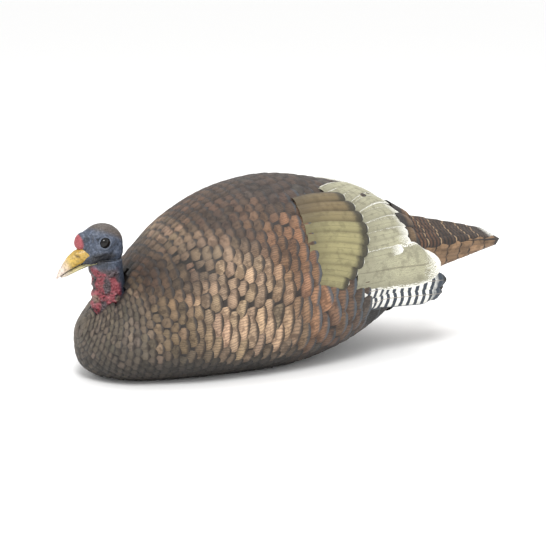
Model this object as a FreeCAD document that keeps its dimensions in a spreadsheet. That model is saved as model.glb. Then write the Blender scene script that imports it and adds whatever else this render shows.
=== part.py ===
import FreeCAD, Part

import math
import os

import Sketcher

# A lay-down turkey hen decoy: a hollow moulded shell with a plug-in head that turns on a keyed bush,
# a plug-in tail, a ground-stake socket in the belly and a breather valve under the rump.
# Frame: the origin is the mouth of the stake socket, in the plane the decoy rests on. +Z is up, the
# beak points along -X, and the decoy's own left side is on -Y.

Vector = FreeCAD.Vector
X_AXIS = Vector(1, 0, 0)
Y_AXIS = Vector(0, 1, 0)
Z_AXIS = Vector(0, 0, 1)

doc = FreeCAD.newDocument("turkey_decoy")
sheet = doc.addObject("Spreadsheet::Sheet", "sizes")

# Driving dimensions, in millimetres and degrees: alias, value, meaning.
SIZES = [
    ("body_length", 452, "breast to rump plane"),
    ("body_width", 238, "across the folded wings"),
    ("body_height", 231, "resting plane to the top of the back"),
    ("breast_reach", 284, "stake socket forward to the breast"),
    ("shell_wall", 3, "moulded body wall"),
    ("wing_tip_reach", 182, "stake socket back to the folded wing's tip"),
    ("wing_flap_length", 122, "solid rear part of the folded wing"),
    ("wing_flap", 14, "thickness of that flap"),
    ("neck_setback", 43, "breast back to the swivel axis"),
    ("neck_radius", 24, "foot of the neck"),
    ("neck_gap", 2, "neck to the well it turns in"),
    ("well_floor", 34, "height of the neck well's floor"),
    ("skin_wall", 2.8, "moulded head and neck wall"),
    ("neck_height", 134, "well floor to the middle of the head"),
    ("neck_lean", 12, "how far the neck leans forward"),
    ("head_length", 54, "skull, front to back"),
    ("head_width", 38, "skull, side to side"),
    ("head_height", 50, "skull, crown to jaw"),
    ("beak_length", 44, "buried root to tip"),
    ("beak_radius", 9.5, "root of the beak"),
    ("beak_tip_radius", 2.4, "tip of the beak"),
    ("beak_droop", 28, "beak below level"),
    ("snood_radius", 6.5, "fleshy bump on the brow"),
    ("eye_radius", 6.2, "eye dome, seen from the side"),
    ("eye_dome", 7.5, "radius the eye's front is domed to"),
    ("eye_depth", 7.5, "eye from its flat back to the top of its dome"),
    ("eye_forward", 1, "eye ahead of the skull's middle"),
    ("eye_stand", 2.5, "top of the eye beyond the skull's side"),
    ("eye_raise", 4, "eye above the skull's middle"),
    ("fit_gap", 0.05, "clearance of a close fit"),
    ("collar_flange_radius", 24, "neck collar flange"),
    ("collar_flange", 2.5, "neck collar flange thickness"),
    ("collar_hub_radius", 15.5, "neck collar hub"),
    ("collar_hub", 10, "hub below the well's floor"),
    ("bush_radius", 12, "swivel bush journal"),
    ("bush_flange_radius", 16, "swivel bush flange"),
    ("bush_flange", 2, "swivel bush flange thickness"),
    ("bush_tail", 3.5, "swivel bush beyond the collar's hub"),
    ("peg_side", 12, "square peg on the neck plug"),
    ("clip_wall", 1, "swivel clip thickness"),
    ("clip_radius", 15, "swivel clip outside"),
    ("clip_groove", 1.4, "depth of the clip's groove"),
    ("clip_opening", 8, "gap in the open clip"),
    ("ring_section", 1.1, "friction ring section radius"),
    ("plug_height", 15, "neck plug disc"),
    ("rod_radius", 5, "neck stiffener rod"),
    ("rod_seat", 4, "plug left solid under the rod"),
    ("rod_boss", 2.2, "wall of the rod's socket in the head"),
    ("rod_offset", 4, "stiffener ahead of the swivel axis"),
    ("screw_radius", 1.5, "self-tapping screw shank"),
    ("screw_length", 5, "self-tapping screw shank"),
    ("screw_head_radius", 2.8, "self-tapping screw head"),
    ("screw_head", 1.4, "self-tapping screw head height"),
    ("screw_circle", 19.8, "collar screws from the swivel axis"),
    ("tail_length", 141, "rump plane to tail tip"),
    ("tail_root_width", 90, "tail at the rump"),
    ("tail_tip_width", 80, "tail at its tip"),
    ("tail_root_ridge", 165, "ridge height at the rump"),
    ("tail_tip_ridge", 133, "ridge height at the tip"),
    ("tail_root_edge", 134, "side edge height at the rump"),
    ("tail_tip_edge", 127, "side edge height at the tip"),
    ("tail_root_base", 87, "underside height at the rump"),
    ("tail_tip_base", 117, "underside height at the tip"),
    ("tail_floor", 0.8, "underside of the tail, as a share of its width"),
    ("tail_wall", 2.6, "moulded tail wall"),
    ("tail_gap", 0.2, "tail shoulder to the rump plane"),
    ("tenon_width", 52, "tail tenon, across"),
    ("tenon_height", 38, "tail tenon, upright"),
    ("tenon_length", 26, "tail tenon, along"),
    ("tenon_middle", 120, "height of the tail tenon's middle"),
    ("tenon_corner", 8, "cut corners of the tail tenon"),
    ("collar_wall", 2.5, "rump collar sleeve and flange"),
    ("collar_lip", 6, "rump collar flange beyond its sleeve"),
    ("stake_radius", 5, "bore for a ground stake"),
    ("stake_depth", 70, "depth of that blind bore"),
    ("socket_wall", 4, "stake socket wall"),
    ("socket_flange_radius", 20.5, "stake socket flange"),
    ("socket_flange", 2.5, "stake socket flange thickness"),
    ("gasket", 1.5, "rubber gasket thickness"),
    ("seat_wall", 3, "shell between a gasket and its nut"),
    ("seat_margin", 5, "thickened shell beyond a flange"),
    ("nut_height", 6, "clamping nut thickness"),
    ("nut_wall", 6, "clamping nut beyond its bore, to its flats"),
    ("valve_reach", 88, "stake socket back to the breather valve"),
    ("valve_radius", 5, "breather valve bore"),
    ("valve_wall", 3, "breather valve wall"),
    ("valve_flange_radius", 13, "breather valve flange"),
    ("valve_flange", 1.8, "breather valve flange thickness"),
    ("valve_length", 20, "breather valve above its flange"),
    ("valve_web", 2, "perforated web across the valve's bore"),
    ("vent_radius", 1.3, "each vent in the web"),
    ("vent_circle", 3.1, "vents from the valve's axis"),
    ("flap_wall", 0.8, "rubber flap thickness"),
    ("flap_stem", 1.1, "radius of the flap's stem"),
    ("plug_depth", 7, "valve plug in its bore"),
    ("plug_head_radius", 7.5, "valve plug head"),
    ("plug_head", 1.4, "valve plug head thickness"),
]
for row, (alias, value, meaning) in enumerate(SIZES, start=1):
    sheet.set(f"A{row}", meaning)
    sheet.set(f"B{row}", str(value))
    sheet.setAlias(f"B{row}", alias)
doc.recompute()

# Places that several parts share, as formulas over the sheet. A $ marks an alias.
SWIVEL_X = "($neck_setback - $breast_reach)"
RUMP_X = "($body_length - $breast_reach)"
HEAD_X = f"({SWIVEL_X} - $neck_lean)"
HEAD_Z = "($well_floor + $neck_height)"
WELL_RADIUS = "($neck_radius + $neck_gap)"
COLLAR_TOP = "($well_floor + $collar_flange)"
HUB_END = "($well_floor - $collar_hub)"
BUSH_Z = f"({COLLAR_TOP} + $fit_gap)"
PLUG_Z = f"({BUSH_Z} + $bush_flange + $fit_gap)"
SOCKET_OUTSIDE = "($stake_radius + $socket_wall)"
SOCKET_SEAT = "($socket_flange + $gasket)"
SOCKET_NUT_Z = f"({SOCKET_SEAT} + $seat_wall)"
VALVE_OUTSIDE = "($valve_radius + $valve_wall)"
VALVE_GASKET_Z = "($plug_head + $valve_flange)"
VALVE_SEAT = f"({VALVE_GASKET_Z} + $gasket)"
VALVE_NUT_Z = f"({VALVE_SEAT} + $seat_wall)"
VALVE_TOP = "($plug_head + $valve_length)"
WEB_Z = f"({VALVE_TOP} - $valve_web - 3 * $flap_wall)"


def formula(words):
    return words.replace("$", "sizes.")


def number(words):
    """What a formula over the sheet comes to."""
    return float(sheet.evalExpression(formula(words)))


def bind(obj, **formulas):
    """Binds each property to its formula. A double underscore in a name stands for a dot."""
    for name, words in formulas.items():
        obj.setExpression(name.replace("__", "."), formula(words))
    return obj


def at(obj, x="0", y="0", z="0"):
    for axis, words in (("x", x), ("y", y), ("z", z)):
        if words != "0":
            bind(obj, **{f"Placement__Base__{axis}": words})
    return obj


def turn(obj, axis, degrees):
    obj.Placement.Rotation = FreeCAD.Rotation(Vector(*axis), degrees)
    return obj


def cylinder(name, radius, height, x="0", y="0", z="0"):
    made = doc.addObject("Part::Cylinder", name)
    bind(made, Radius=radius, Height=height)
    return at(made, x, y, z)


def fuse(name, *shapes):
    made = doc.addObject("Part::MultiFuse", name)
    made.Shapes = list(shapes)
    return made


def cut(name, base, *tools):
    """Takes the tools away one after another; the last cut has the name."""
    for i, tool in enumerate(tools, start=1):
        made = doc.addObject("Part::Cut", name if i == len(tools) else f"{name}_cut_{i}")
        made.Base = base
        made.Tool = tool
        base = made
    return base


def feature(name, shape):
    made = doc.addObject("Part::Feature", name)
    made.Shape = shape
    return made


def plane_of(body, role):
    return next(f for f in body.Origin.OriginFeatures if f.Role == role)


def pin_down(sketch, kind, axis, line, words):
    """Holds a line's first point at a distance from the origin along one direction of the sketch."""
    value = number(words)
    if abs(value) < 1e-9:
        sketch.addConstraint(Sketcher.Constraint("PointOnObject", line, 1, axis))
    elif value > 0:
        index = sketch.addConstraint(Sketcher.Constraint(kind, -1, 1, line, 1, value))
        sketch.setExpression(f"Constraints[{index}]", formula(words))
    else:
        index = sketch.addConstraint(Sketcher.Constraint(kind, line, 1, -1, 1, -value))
        sketch.setExpression(f"Constraints[{index}]", formula(f"-({words})"))


def outline(body, role, corners, offset="0"):
    """A closed sketch of straight lines through corners, each a pair of formulas, on an origin plane."""
    sketch = body.newObject("Sketcher::SketchObject", f"{body.Name}_outline")
    sketch.AttachmentSupport = [(plane_of(body, role), "")]
    sketch.MapMode = "FlatFace"
    bind(sketch, AttachmentOffset__Base__z=offset)
    points = [Vector(number(u), number(v), 0) for u, v in corners]
    for i, point in enumerate(points):
        sketch.addGeometry(Part.LineSegment(point, points[(i + 1) % len(points)]), False)
    for i in range(len(points)):
        after = (i + 1) % len(points)
        sketch.addConstraint(Sketcher.Constraint("Coincident", i, 2, after, 1))
    for i, (u, v) in enumerate(corners):
        pin_down(sketch, "DistanceX", -2, i, u)
        pin_down(sketch, "DistanceY", -1, i, v)
    return sketch


def turned(name, corners):
    """A body turned about its own Z axis from (radius, height) corners."""
    body = doc.addObject("PartDesign::Body", name)
    sketch = outline(body, "XZ_Plane", corners)
    doc.recompute()
    made = body.newObject("PartDesign::Revolution", f"{name}_turned")
    made.Profile = sketch
    made.ReferenceAxis = (sketch, ["V_Axis"])
    made.Angle = 360
    return body


def pad(body, sketch, length, name, reverse=False):
    made = body.newObject("PartDesign::Pad", name)
    made.Profile = sketch
    made.Reversed = reverse
    bind(made, Length=length)
    return made


def pocket(body, sketch, length, name, reverse=False):
    doc.recompute()
    made = body.newObject("PartDesign::Pocket", name)
    made.Profile = sketch
    made.Reversed = reverse
    bind(made, Length=length)
    return made


def square(side):
    half = f"{side} / 2"
    return [(half, half), (f"-{half}", half), (f"-{half}", f"-{half}"), (half, f"-{half}")]


def cut_cornered(grow):
    """The tail tenon's eight-cornered outline on the YZ plane, grown all round by a formula."""
    wide = f"($tenon_width / 2 + {grow})"
    tall = f"($tenon_height / 2 + {grow})"
    corner = "$tenon_corner"
    middle = "$tenon_middle"
    return [
        (f"{wide} - {corner}", f"{middle} + {tall}"),
        (f"{corner} - {wide}", f"{middle} + {tall}"),
        (f"-{wide}", f"{middle} + {tall} - {corner}"),
        (f"-{wide}", f"{middle} - {tall} + {corner}"),
        (f"{corner} - {wide}", f"{middle} - {tall}"),
        (f"{wide} - {corner}", f"{middle} - {tall}"),
        (wide, f"{middle} - {tall} + {corner}"),
        (wide, f"{middle} + {tall} - {corner}"),
    ]


# ---- the moulded body: an upper and a lower swelling meet along the crease under each wing ----

RING_POINTS = 36
CREASE = 20  # the higher, the sharper the crease
# Each station: its place along the body, then the middle, half height and half width of the lower
# swelling and of the upper one, as shares of the body's length, height, height and width.
STATIONS = [
    (0.000, 0.195, 0.035, 0.029, 0.195, 0.035, 0.029),
    (0.009, 0.195, 0.104, 0.092, 0.195, 0.104, 0.092),
    (0.049, 0.199, 0.165, 0.235, 0.220, 0.140, 0.150),
    (0.130, 0.212, 0.221, 0.345, 0.377, 0.151, 0.261),
    (0.230, 0.242, 0.264, 0.424, 0.450, 0.277, 0.387),
    (0.385, 0.273, 0.299, 0.483, 0.511, 0.416, 0.475),
    (0.562, 0.303, 0.325, 0.492, 0.528, 0.472, 0.500),
    (0.739, 0.359, 0.307, 0.454, 0.528, 0.424, 0.471),
    (0.872, 0.424, 0.268, 0.353, 0.528, 0.346, 0.403),
    (1.000, 0.485, 0.199, 0.218, 0.528, 0.190, 0.277),
    (1.060, 0.500, 0.150, 0.160, 0.528, 0.140, 0.220),
]


def closed_curve(points):
    curve = Part.BSplineCurve()
    curve.interpolate(points, True)
    return Part.Wire(curve.toShape())


def exit_distance(across, up, offset, tall, wide):
    """How far a ray goes before it leaves an ellipse whose middle lies an offset above its start."""
    a = (across / wide) ** 2 + (up / tall) ** 2
    b = up * offset / tall**2
    c = (offset / tall) ** 2 - 1
    return (b + math.sqrt(b * b - a * c)) / a


def body_section(x, swellings):
    """A closed curve round both swellings at a place along X."""
    lower, upper = swellings
    start = (lower[0] + upper[0]) / 2
    points = []
    for i in range(RING_POINTS):
        angle = 2 * math.pi * (i + 0.5) / RING_POINTS
        across, up = math.cos(angle), math.sin(angle)
        exits = [exit_distance(across, up, s[0] - start, s[1], s[2]) for s in swellings]
        reach = sum(e**CREASE for e in exits) ** (1 / CREASE)
        points.append(Vector(x, reach * across, start + reach * up))
    return closed_curve(points)


def body_form(name, wall, back, lowest):
    """The body's form drawn in by a wall, cut square at the back and level at the lowest height."""
    height = number("$body_height")
    width = number("$body_width")
    front = wall - number("$breast_reach")
    shorter = height * (1 - 2 * wall / height)
    narrower = width * (1 - 2 * wall / width)
    sections = []
    for place, *shares in STATIONS:
        swellings = [
            (middle * height, tall * shorter, wide * narrower)
            for middle, tall, wide in (shares[:3], shares[3:])
        ]
        sections.append(body_section(front + place * (back - front), swellings))
    form = Part.makeLoft(sections, True, False, False)
    span = number("$body_length")
    corner = Vector(back - 2 * span, -span, lowest)
    return feature(name, form.common(Part.makeBox(2 * span, 2 * span, 2 * span, corner)))


rump = number(RUMP_X)
shell_wall = number("$shell_wall")
rump_wall = shell_wall + number("$collar_wall")
outer_skin = body_form("outer_skin", 0, rump, -number("$body_height"))
hollow = body_form("hollow", shell_wall, rump - rump_wall, shell_wall)
doc.recompute()

wing_left = doc.addObject("PartDesign::Body", "wing_left")
FLAP_X = "($wing_tip_reach - $wing_flap_length)"
flap_line = outline(
    wing_left,
    "XZ_Plane",
    [
        (FLAP_X, "$body_height * 0.30"),
        ("$wing_tip_reach * 0.80", "$body_height * 0.29"),
        ("$wing_tip_reach * 0.95", "$body_height * 0.32"),
        ("$wing_tip_reach", "$body_height * 0.37"),
        ("$wing_tip_reach * 0.98", "$body_height * 0.42"),
        ("$wing_tip_reach * 0.80", "$body_height * 0.57"),
        ("$wing_tip_reach * 0.60", "$body_height * 0.65"),
        (FLAP_X, "$body_height * 0.65"),
    ],
    offset="$body_width * 0.35",
)
pad(wing_left, flap_line, "$wing_flap", "wing_left_pad")
wing_right = doc.addObject("Part::Mirroring", "wing_right")
wing_right.Source = wing_left
wing_right.Normal = Y_AXIS

well_tube = cylinder(
    "well_tube",
    f"{WELL_RADIUS} + $shell_wall",
    "$body_height",
    x=SWIVEL_X,
    z="$well_floor - $shell_wall",
)
socket_boss = cylinder(
    "socket_boss",
    "$socket_flange_radius + $seat_margin",
    f"2 * {SOCKET_NUT_Z}",
    z=f"-{SOCKET_NUT_Z}",
)

# The breather valve stands square to the skin where the belly has begun to rise. Its own parts are
# drawn with +Z into the body from the skin, and share this place.
reach = number("$valve_reach")
height = number("$body_height")
plumb = Part.makeLine(Vector(reach, 0, -height), Vector(reach, 0, height / 3))
crossings = []
for face in outer_skin.Shape.Faces:
    gap, pairs, kinds = face.distToShape(plumb)
    if gap < 1e-6:
        crossings.extend((on_face.z, on_face, face) for on_face, on_line in pairs)
lowest, valve_mouth, belly = min(crossings, key=lambda crossing: crossing[0])
outward = belly.normalAt(*belly.Surface.parameter(valve_mouth))
inward = Vector(-outward.x, 0, -outward.z)  # the skin is the same on both sides
valve_place = FreeCAD.Placement(valve_mouth, FreeCAD.Rotation(Z_AXIS, inward))


def at_valve(obj):
    """Stands a shape drawn on the valve's own axis in its place in the belly."""
    obj.Placement = valve_place.multiply(obj.Placement)
    return obj


valve_boss = at_valve(
    cylinder("valve_boss", "$valve_flange_radius + $seat_margin", VALVE_NUT_Z)
)


# ---- the tail: a wedge with a roofed top, plugged into a collar in the rump ----


def tenon_block(name, grow, start, length):
    """A straight block with the tenon's outline grown all round, from a place along X."""
    body = doc.addObject("PartDesign::Body", name)
    line = outline(body, "YZ_Plane", cut_cornered(grow), offset=start)
    pad(body, line, length, f"{name}_pad")
    return body


def tail_section(body, end, place, wall):
    """The tail's five-cornered outline at its root or tip, drawn in by a wall."""
    half = f"($tail_{end}_width / 2 - {wall})"
    floor_half = f"($tail_{end}_width / 2 * $tail_floor - {wall})"
    ridge = f"$tail_{end}_ridge - {wall}"
    edge = f"$tail_{end}_edge"
    base = f"$tail_{end}_base + {wall}"
    corners = [
        ("0", ridge),
        (f"-{half}", edge),
        (f"-{floor_half}", base),
        (floor_half, base),
        (half, edge),
    ]
    return outline(body, "YZ_Plane", corners, offset=place)


def loft(body, kind, first, last):
    made = body.newObject(f"PartDesign::{kind}", f"{body.Name}_{kind}")
    made.Profile = first
    made.Sections = [last]
    made.Ruled = True
    return made


TAIL_ROOT = f"({RUMP_X} + $tail_gap)"
TAIL_TIP = f"({RUMP_X} + $tail_length)"
tail_shell = doc.addObject("PartDesign::Body", "tail_shell")
root_line = tail_section(tail_shell, "root", TAIL_ROOT, "0")
tip_line = tail_section(tail_shell, "tip", TAIL_TIP, "0")
doc.recompute()
loft(tail_shell, "AdditiveLoft", root_line, tip_line)
tenon_line = outline(tail_shell, "YZ_Plane", cut_cornered("0"), offset=TAIL_ROOT)
pad(tail_shell, tenon_line, "$tenon_length", "tenon", reverse=True)
root_hollow = tail_section(tail_shell, "root", f"{TAIL_ROOT} + $tail_wall", "$tail_wall")
tip_hollow = tail_section(tail_shell, "tip", f"{TAIL_TIP} - $tail_wall", "$tail_wall")
doc.recompute()
loft(tail_shell, "SubtractiveLoft", root_hollow, tip_hollow)
bore_line = outline(
    tail_shell, "YZ_Plane", cut_cornered("-$tail_wall"), offset=f"{TAIL_ROOT} + 2 * $tail_wall"
)
pocket(tail_shell, bore_line, "$tenon_length + 3 * $tail_wall", "tenon_bore")

SLEEVE = "($fit_gap + $collar_wall)"
SLEEVE_HOLE = f"({SLEEVE} + $fit_gap)"
SLEEVE_START = f"({RUMP_X} - $tenon_length)"
FLANGE_START = f"({RUMP_X} - $collar_wall)"
sleeve_block = tenon_block("sleeve_block", SLEEVE, SLEEVE_START, "$tenon_length")
flange_block = tenon_block("flange_block", f"{SLEEVE} + $collar_lip", FLANGE_START, "$collar_wall")
tenon_hole = tenon_block("tenon_hole", "$fit_gap", f"{SLEEVE_START} - 1", "$tenon_length + 2")
rump_collar = cut("rump_collar", fuse("collar_blank", sleeve_block, flange_block), tenon_hole)
rump_opening = tenon_block("rump_opening", SLEEVE_HOLE, SLEEVE_START, "$tenon_length + 1")
rump_recess = tenon_block("rump_recess", f"{SLEEVE_HOLE} + $collar_lip", FLANGE_START, "$collar_wall + 1")


# ---- the neck swivel: a keyed bush turns in a collar screwed to the floor of the neck well ----


def around(count, start=0):
    return [start + 360 / count * i for i in range(count)]


def screw_places(angle):
    return f"{SWIVEL_X} + $screw_circle * cos({angle})", f"$screw_circle * sin({angle})"


COLLAR_SCREWS = around(4, start=45)
SCREW_HOLE = "$screw_radius + $fit_gap"
BUSH_END = f"({HUB_END} - $bush_tail)"
RING_Z = "($well_floor - $collar_hub / 2)"
CLIP_TOP = f"({HUB_END} - $fit_gap)"
CLIP_INSIDE = "($bush_radius - $clip_groove)"

shanks = []
heads = []
pilots = []
for number_of, angle in enumerate(COLLAR_SCREWS):
    x, y = screw_places(angle)
    shank_z = f"{COLLAR_TOP} - $screw_length"
    shanks.append(cylinder(f"shank_{number_of}", "$screw_radius", "$screw_length", x, y, shank_z))
    heads.append(cylinder(f"head_{number_of}", "$screw_head_radius", "$screw_head", x, y, COLLAR_TOP))
    pilots.append(cylinder(f"pilot_{number_of}", SCREW_HOLE, "4 * $screw_length", x, y, HUB_END))
collar_screws = fuse("collar_screws", *shanks, *heads)
screw_pilots = fuse("screw_pilots", *pilots)

collar_blank = turned(
    "neck_collar_blank",
    [
        ("$bush_radius + $fit_gap", COLLAR_TOP),
        ("$collar_flange_radius", COLLAR_TOP),
        ("$collar_flange_radius", "$well_floor"),
        ("$collar_hub_radius", "$well_floor"),
        ("$collar_hub_radius", HUB_END),
        ("$bush_radius + $fit_gap", HUB_END),
    ],
)
at(collar_blank, x=SWIVEL_X)
neck_collar = cut("neck_collar", collar_blank, screw_pilots)

swivel_bush = turned(
    "swivel_bush",
    [
        ("0", f"{BUSH_Z} + $bush_flange"),
        ("$bush_flange_radius", f"{BUSH_Z} + $bush_flange"),
        ("$bush_flange_radius", BUSH_Z),
        ("$bush_radius", BUSH_Z),
        ("$bush_radius", f"{RING_Z} + $ring_section"),
        ("$bush_radius - 2 * $ring_section", f"{RING_Z} + $ring_section"),
        ("$bush_radius - 2 * $ring_section", f"{RING_Z} - $ring_section"),
        ("$bush_radius", f"{RING_Z} - $ring_section"),
        ("$bush_radius", CLIP_TOP),
        (CLIP_INSIDE, CLIP_TOP),
        (CLIP_INSIDE, f"{CLIP_TOP} - $clip_wall"),
        ("$bush_radius", f"{CLIP_TOP} - $clip_wall"),
        ("$bush_radius", BUSH_END),
        ("0", BUSH_END),
    ],
)
at(swivel_bush, x=SWIVEL_X)
key_line = outline(swivel_bush, "XY_Plane", square("$peg_side"), offset=f"{BUSH_Z} + $bush_flange")
pocket(swivel_bush, key_line, "$well_floor", "key_hole")

friction_ring = doc.addObject("Part::Torus", "friction_ring")
bind(friction_ring, Radius1="$bush_radius - $ring_section", Radius2="$ring_section")
at(friction_ring, x=SWIVEL_X, z=RING_Z)

clip_opening = doc.addObject("Part::Box", "clip_opening")
bind(clip_opening, Length="$clip_radius", Width="$clip_opening", Height="$clip_wall")
at(clip_opening, x=SWIVEL_X, y="-$clip_opening / 2", z=f"{CLIP_TOP} - $clip_wall")
clip_disc = cylinder("clip_disc", "$clip_radius", "$clip_wall", SWIVEL_X, z=f"{CLIP_TOP} - $clip_wall")
clip_eye = cylinder("clip_eye", CLIP_INSIDE, "$clip_wall", SWIVEL_X, z=f"{CLIP_TOP} - $clip_wall")
swivel_clip = cut("swivel_clip", clip_disc, clip_eye, clip_opening)


# ---- the head: a hollow neck and skull on a plug whose square peg keys into the bush ----

NECK_FOOT = f"({PLUG_Z} + 1)"
# Along the neck, from its foot to the jaw and on into the skull: place, radius as a share of its
# foot's, share of its forward lean.
NECK = [
    (0.00, 1.00, 0.00),
    (0.15, 1.00, 0.00),
    (0.32, 0.97, 0.02),
    (0.50, 0.90, 0.14),
    (0.68, 0.82, 0.44),
    (0.86, 0.78, 0.80),
    (1.00, 0.76, 1.00),
    (1.08, 0.72, 1.00),
    (1.18, 0.50, 1.00),
    (1.40, 0.20, 1.00),
]
NECK_RINGS = 14
CROWN_RINGS = 8
CROWN_ANGLE = math.radians(84)  # where the last ring closes the crown


def neck_at(place):
    """The neck's radius and lean at a place along it, on straight lines between its stations."""
    for (start, radius, lean), (end, next_radius, next_lean) in zip(NECK, NECK[1:]):
        if place <= end:
            share = (place - start) / (end - start)
            return radius + share * (next_radius - radius), lean + share * (next_lean - lean)
    return radius, lean


def head_section(height, foot, jaw, wall):
    """A closed curve round the neck and the skull at a height."""
    share, lean = neck_at((height - foot) / (jaw - foot))
    neck_radius = share * number("$neck_radius") - wall
    middle = number(SWIVEL_X) - lean * number("$neck_lean")
    swellings = [(middle, neck_radius, neck_radius)] if neck_radius > wall else []
    long, wide, tall = (number(f"$head_{side} / 2") - wall for side in ("length", "width", "height"))
    level = (height - number(HEAD_Z)) / tall
    if abs(level) < 1:
        narrowing = math.sqrt(1 - level**2)
        swellings.append((number(HEAD_X), long * narrowing, wide * narrowing))
    points = []
    for i in range(RING_POINTS):
        angle = 2 * math.pi * (i + 0.5) / RING_POINTS
        across, ahead = math.sin(angle), math.cos(angle)
        exits = [exit_distance(across, ahead, s[0] - middle, s[1], s[2]) for s in swellings]
        reach = sum(e**CREASE for e in exits) ** (1 / CREASE)
        points.append(Vector(middle + reach * ahead, reach * across, height))
    return closed_curve(points)


def head_form(name, wall):
    """Neck and skull as one form drawn in by a wall, its foot lowered as much."""
    foot = number(NECK_FOOT)
    eye_line = number(HEAD_Z)
    jaw = eye_line - number("$head_height / 3")
    tall = number("$head_height / 2") - wall
    lowest = foot - wall
    heights = [lowest + (eye_line - lowest) * i / NECK_RINGS for i in range(NECK_RINGS + 1)]
    for i in range(1, CROWN_RINGS + 1):
        heights.append(eye_line + tall * math.sin(CROWN_ANGLE * i / CROWN_RINGS))
    sections = [head_section(height, foot, jaw, wall) for height in heights]
    return feature(name, Part.makeLoft(sections, True, False, False))


EYE_X = f"({HEAD_X} - $eye_forward)"
EYE_Z = f"({HEAD_Z} + $eye_raise)"
EYE_BACK = "($head_width / 2 + $eye_stand - $eye_depth)"


def eye_post(name, side, radius, inside, length):
    """A cylinder on an eye's axis, from a place inside the head out to its side."""
    made = cylinder(name, radius, length, EYE_X, f"{side} * {inside}", EYE_Z)
    return turn(made, (1, 0, 0), -90 * side)


def eye(name, side):
    """A glass button: a round with a flat back and a domed front."""
    ball = doc.addObject("Part::Sphere", f"{name}_ball")
    bind(ball, Radius="$eye_dome")
    at(ball, EYE_X, f"{side} * ({EYE_BACK} + $eye_depth - $eye_dome)", EYE_Z)
    made = doc.addObject("Part::Common", name)
    made.Base = eye_post(f"{name}_round", side, "$eye_radius", EYE_BACK, "$eye_depth")
    made.Tool = ball
    return made


BEAK_X = f"({HEAD_X} - $head_length * 0.35)"
BEAK_Z = f"({HEAD_Z} - $head_height * 0.3)"
beak = doc.addObject("Part::Cone", "beak")
bind(beak, Radius1="$beak_radius", Radius2="$beak_tip_radius", Height="$beak_length")
at(beak, BEAK_X, "0", BEAK_Z)
turn(beak, (0, 1, 0), -90 - number("$beak_droop"))
beak_tip = doc.addObject("Part::Cone", "beak_tip")
bind(beak_tip, Radius1="$beak_tip_radius", Radius2="$beak_tip_radius * 0.4", Height="$beak_tip_radius * 0.8")
at(
    beak_tip,
    f"{BEAK_X} - $beak_length * cos($beak_droop)",
    "0",
    f"{BEAK_Z} - $beak_length * sin($beak_droop)",
)
turn(beak_tip, (0, 1, 0), -90 - number("$beak_droop"))
snood = doc.addObject("Part::Cone", "snood")
bind(snood, Radius1="$snood_radius", Radius2="$snood_radius * 0.5", Height="2 * $snood_radius")
at(snood, f"{HEAD_X} - $head_length / 2 + $snood_radius", "0", HEAD_Z)
turn(snood, (0, 1, 0), -90)
eye_left = eye("eye_left", -1)
eye_right = eye("eye_right", 1)
head_solid = fuse("head_solid", head_form("head_outside", 0), beak, beak_tip, snood)
ROD_X = f"({SWIVEL_X} - $rod_offset)"
rod_boss = cylinder("rod_boss", "$rod_radius + $rod_boss", "$head_height", ROD_X, z=f"{HEAD_Z} - 10")
EYE_POSTS = (("left", -1), ("right", 1))
eye_bosses = [
    eye_post(
        f"eye_boss_{label}",
        side,
        "$eye_radius + $skin_wall",
        f"({EYE_BACK} - $skin_wall)",
        "$eye_depth",
    )
    for label, side in EYE_POSTS
]
eye_seats = [
    eye_post(f"eye_seat_{label}", side, "$eye_radius + $fit_gap", EYE_BACK, "2 * $eye_depth")
    for label, side in EYE_POSTS
]
head_hollow = cut("head_hollow", head_form("head_inside", number("$skin_wall")), rod_boss, *eye_bosses)
PLUG_RADIUS = "($neck_radius - $skin_wall - $fit_gap)"
PLUG_TOP = f"({PLUG_Z} + $plug_height)"
plug_seat = cylinder("plug_seat", f"{PLUG_RADIUS} + $fit_gap", "$plug_height", SWIVEL_X, z=PLUG_Z)
rod_start = f"{PLUG_Z} + $rod_seat"
neck_stiffener = cylinder(
    "neck_stiffener", "$rod_radius - $fit_gap", f"{HEAD_Z} - ({rod_start})", ROD_X, z=rod_start
)
rod_hole = cylinder("rod_hole", "$rod_radius", f"{HEAD_Z} - ({rod_start})", ROD_X, z=rod_start)


def plug_screw(name, angle, radius, reach):
    """A headless screw lying square to the neck, its outer end a little under the skin."""
    made = cylinder(name, radius, reach)
    end = f"($neck_radius - $screw_radius / 5 - $screw_length)"
    at(
        made,
        f"{SWIVEL_X} + {end} * cos({angle})",
        f"{end} * sin({angle})",
        f"{PLUG_Z} + $plug_height / 2",
    )
    made.Placement.Rotation = FreeCAD.Rotation(Z_AXIS, angle) * FreeCAD.Rotation(Y_AXIS, 90)
    return made


PLUG_SCREWS = around(3, start=90)
plug_screws = fuse(
    "plug_screws",
    *[plug_screw(f"grub_{i}", a, "$screw_radius", "$screw_length") for i, a in enumerate(PLUG_SCREWS)],
)
grub_holes = fuse(
    "grub_holes",
    *[plug_screw(f"grub_hole_{i}", a, SCREW_HOLE, "2 * $screw_length") for i, a in enumerate(PLUG_SCREWS)],
)
head_shell = cut("head_shell", head_solid, head_hollow, plug_seat, *eye_seats, rod_hole, grub_holes)

plug_blank = turned(
    "plug_blank",
    [("0", PLUG_Z), (PLUG_RADIUS, PLUG_Z), (PLUG_RADIUS, PLUG_TOP), ("0", PLUG_TOP)],
)
at(plug_blank, x=SWIVEL_X)
peg_line = outline(plug_blank, "XY_Plane", square("($peg_side - 2 * $fit_gap)"), offset=PLUG_Z)
pad(plug_blank, peg_line, f"{PLUG_Z} - {BUSH_END}", "peg", reverse=True)
neck_plug = cut("neck_plug", plug_blank, rod_hole, grub_holes)


# ---- the stake socket, clamped through the belly ----


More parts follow.
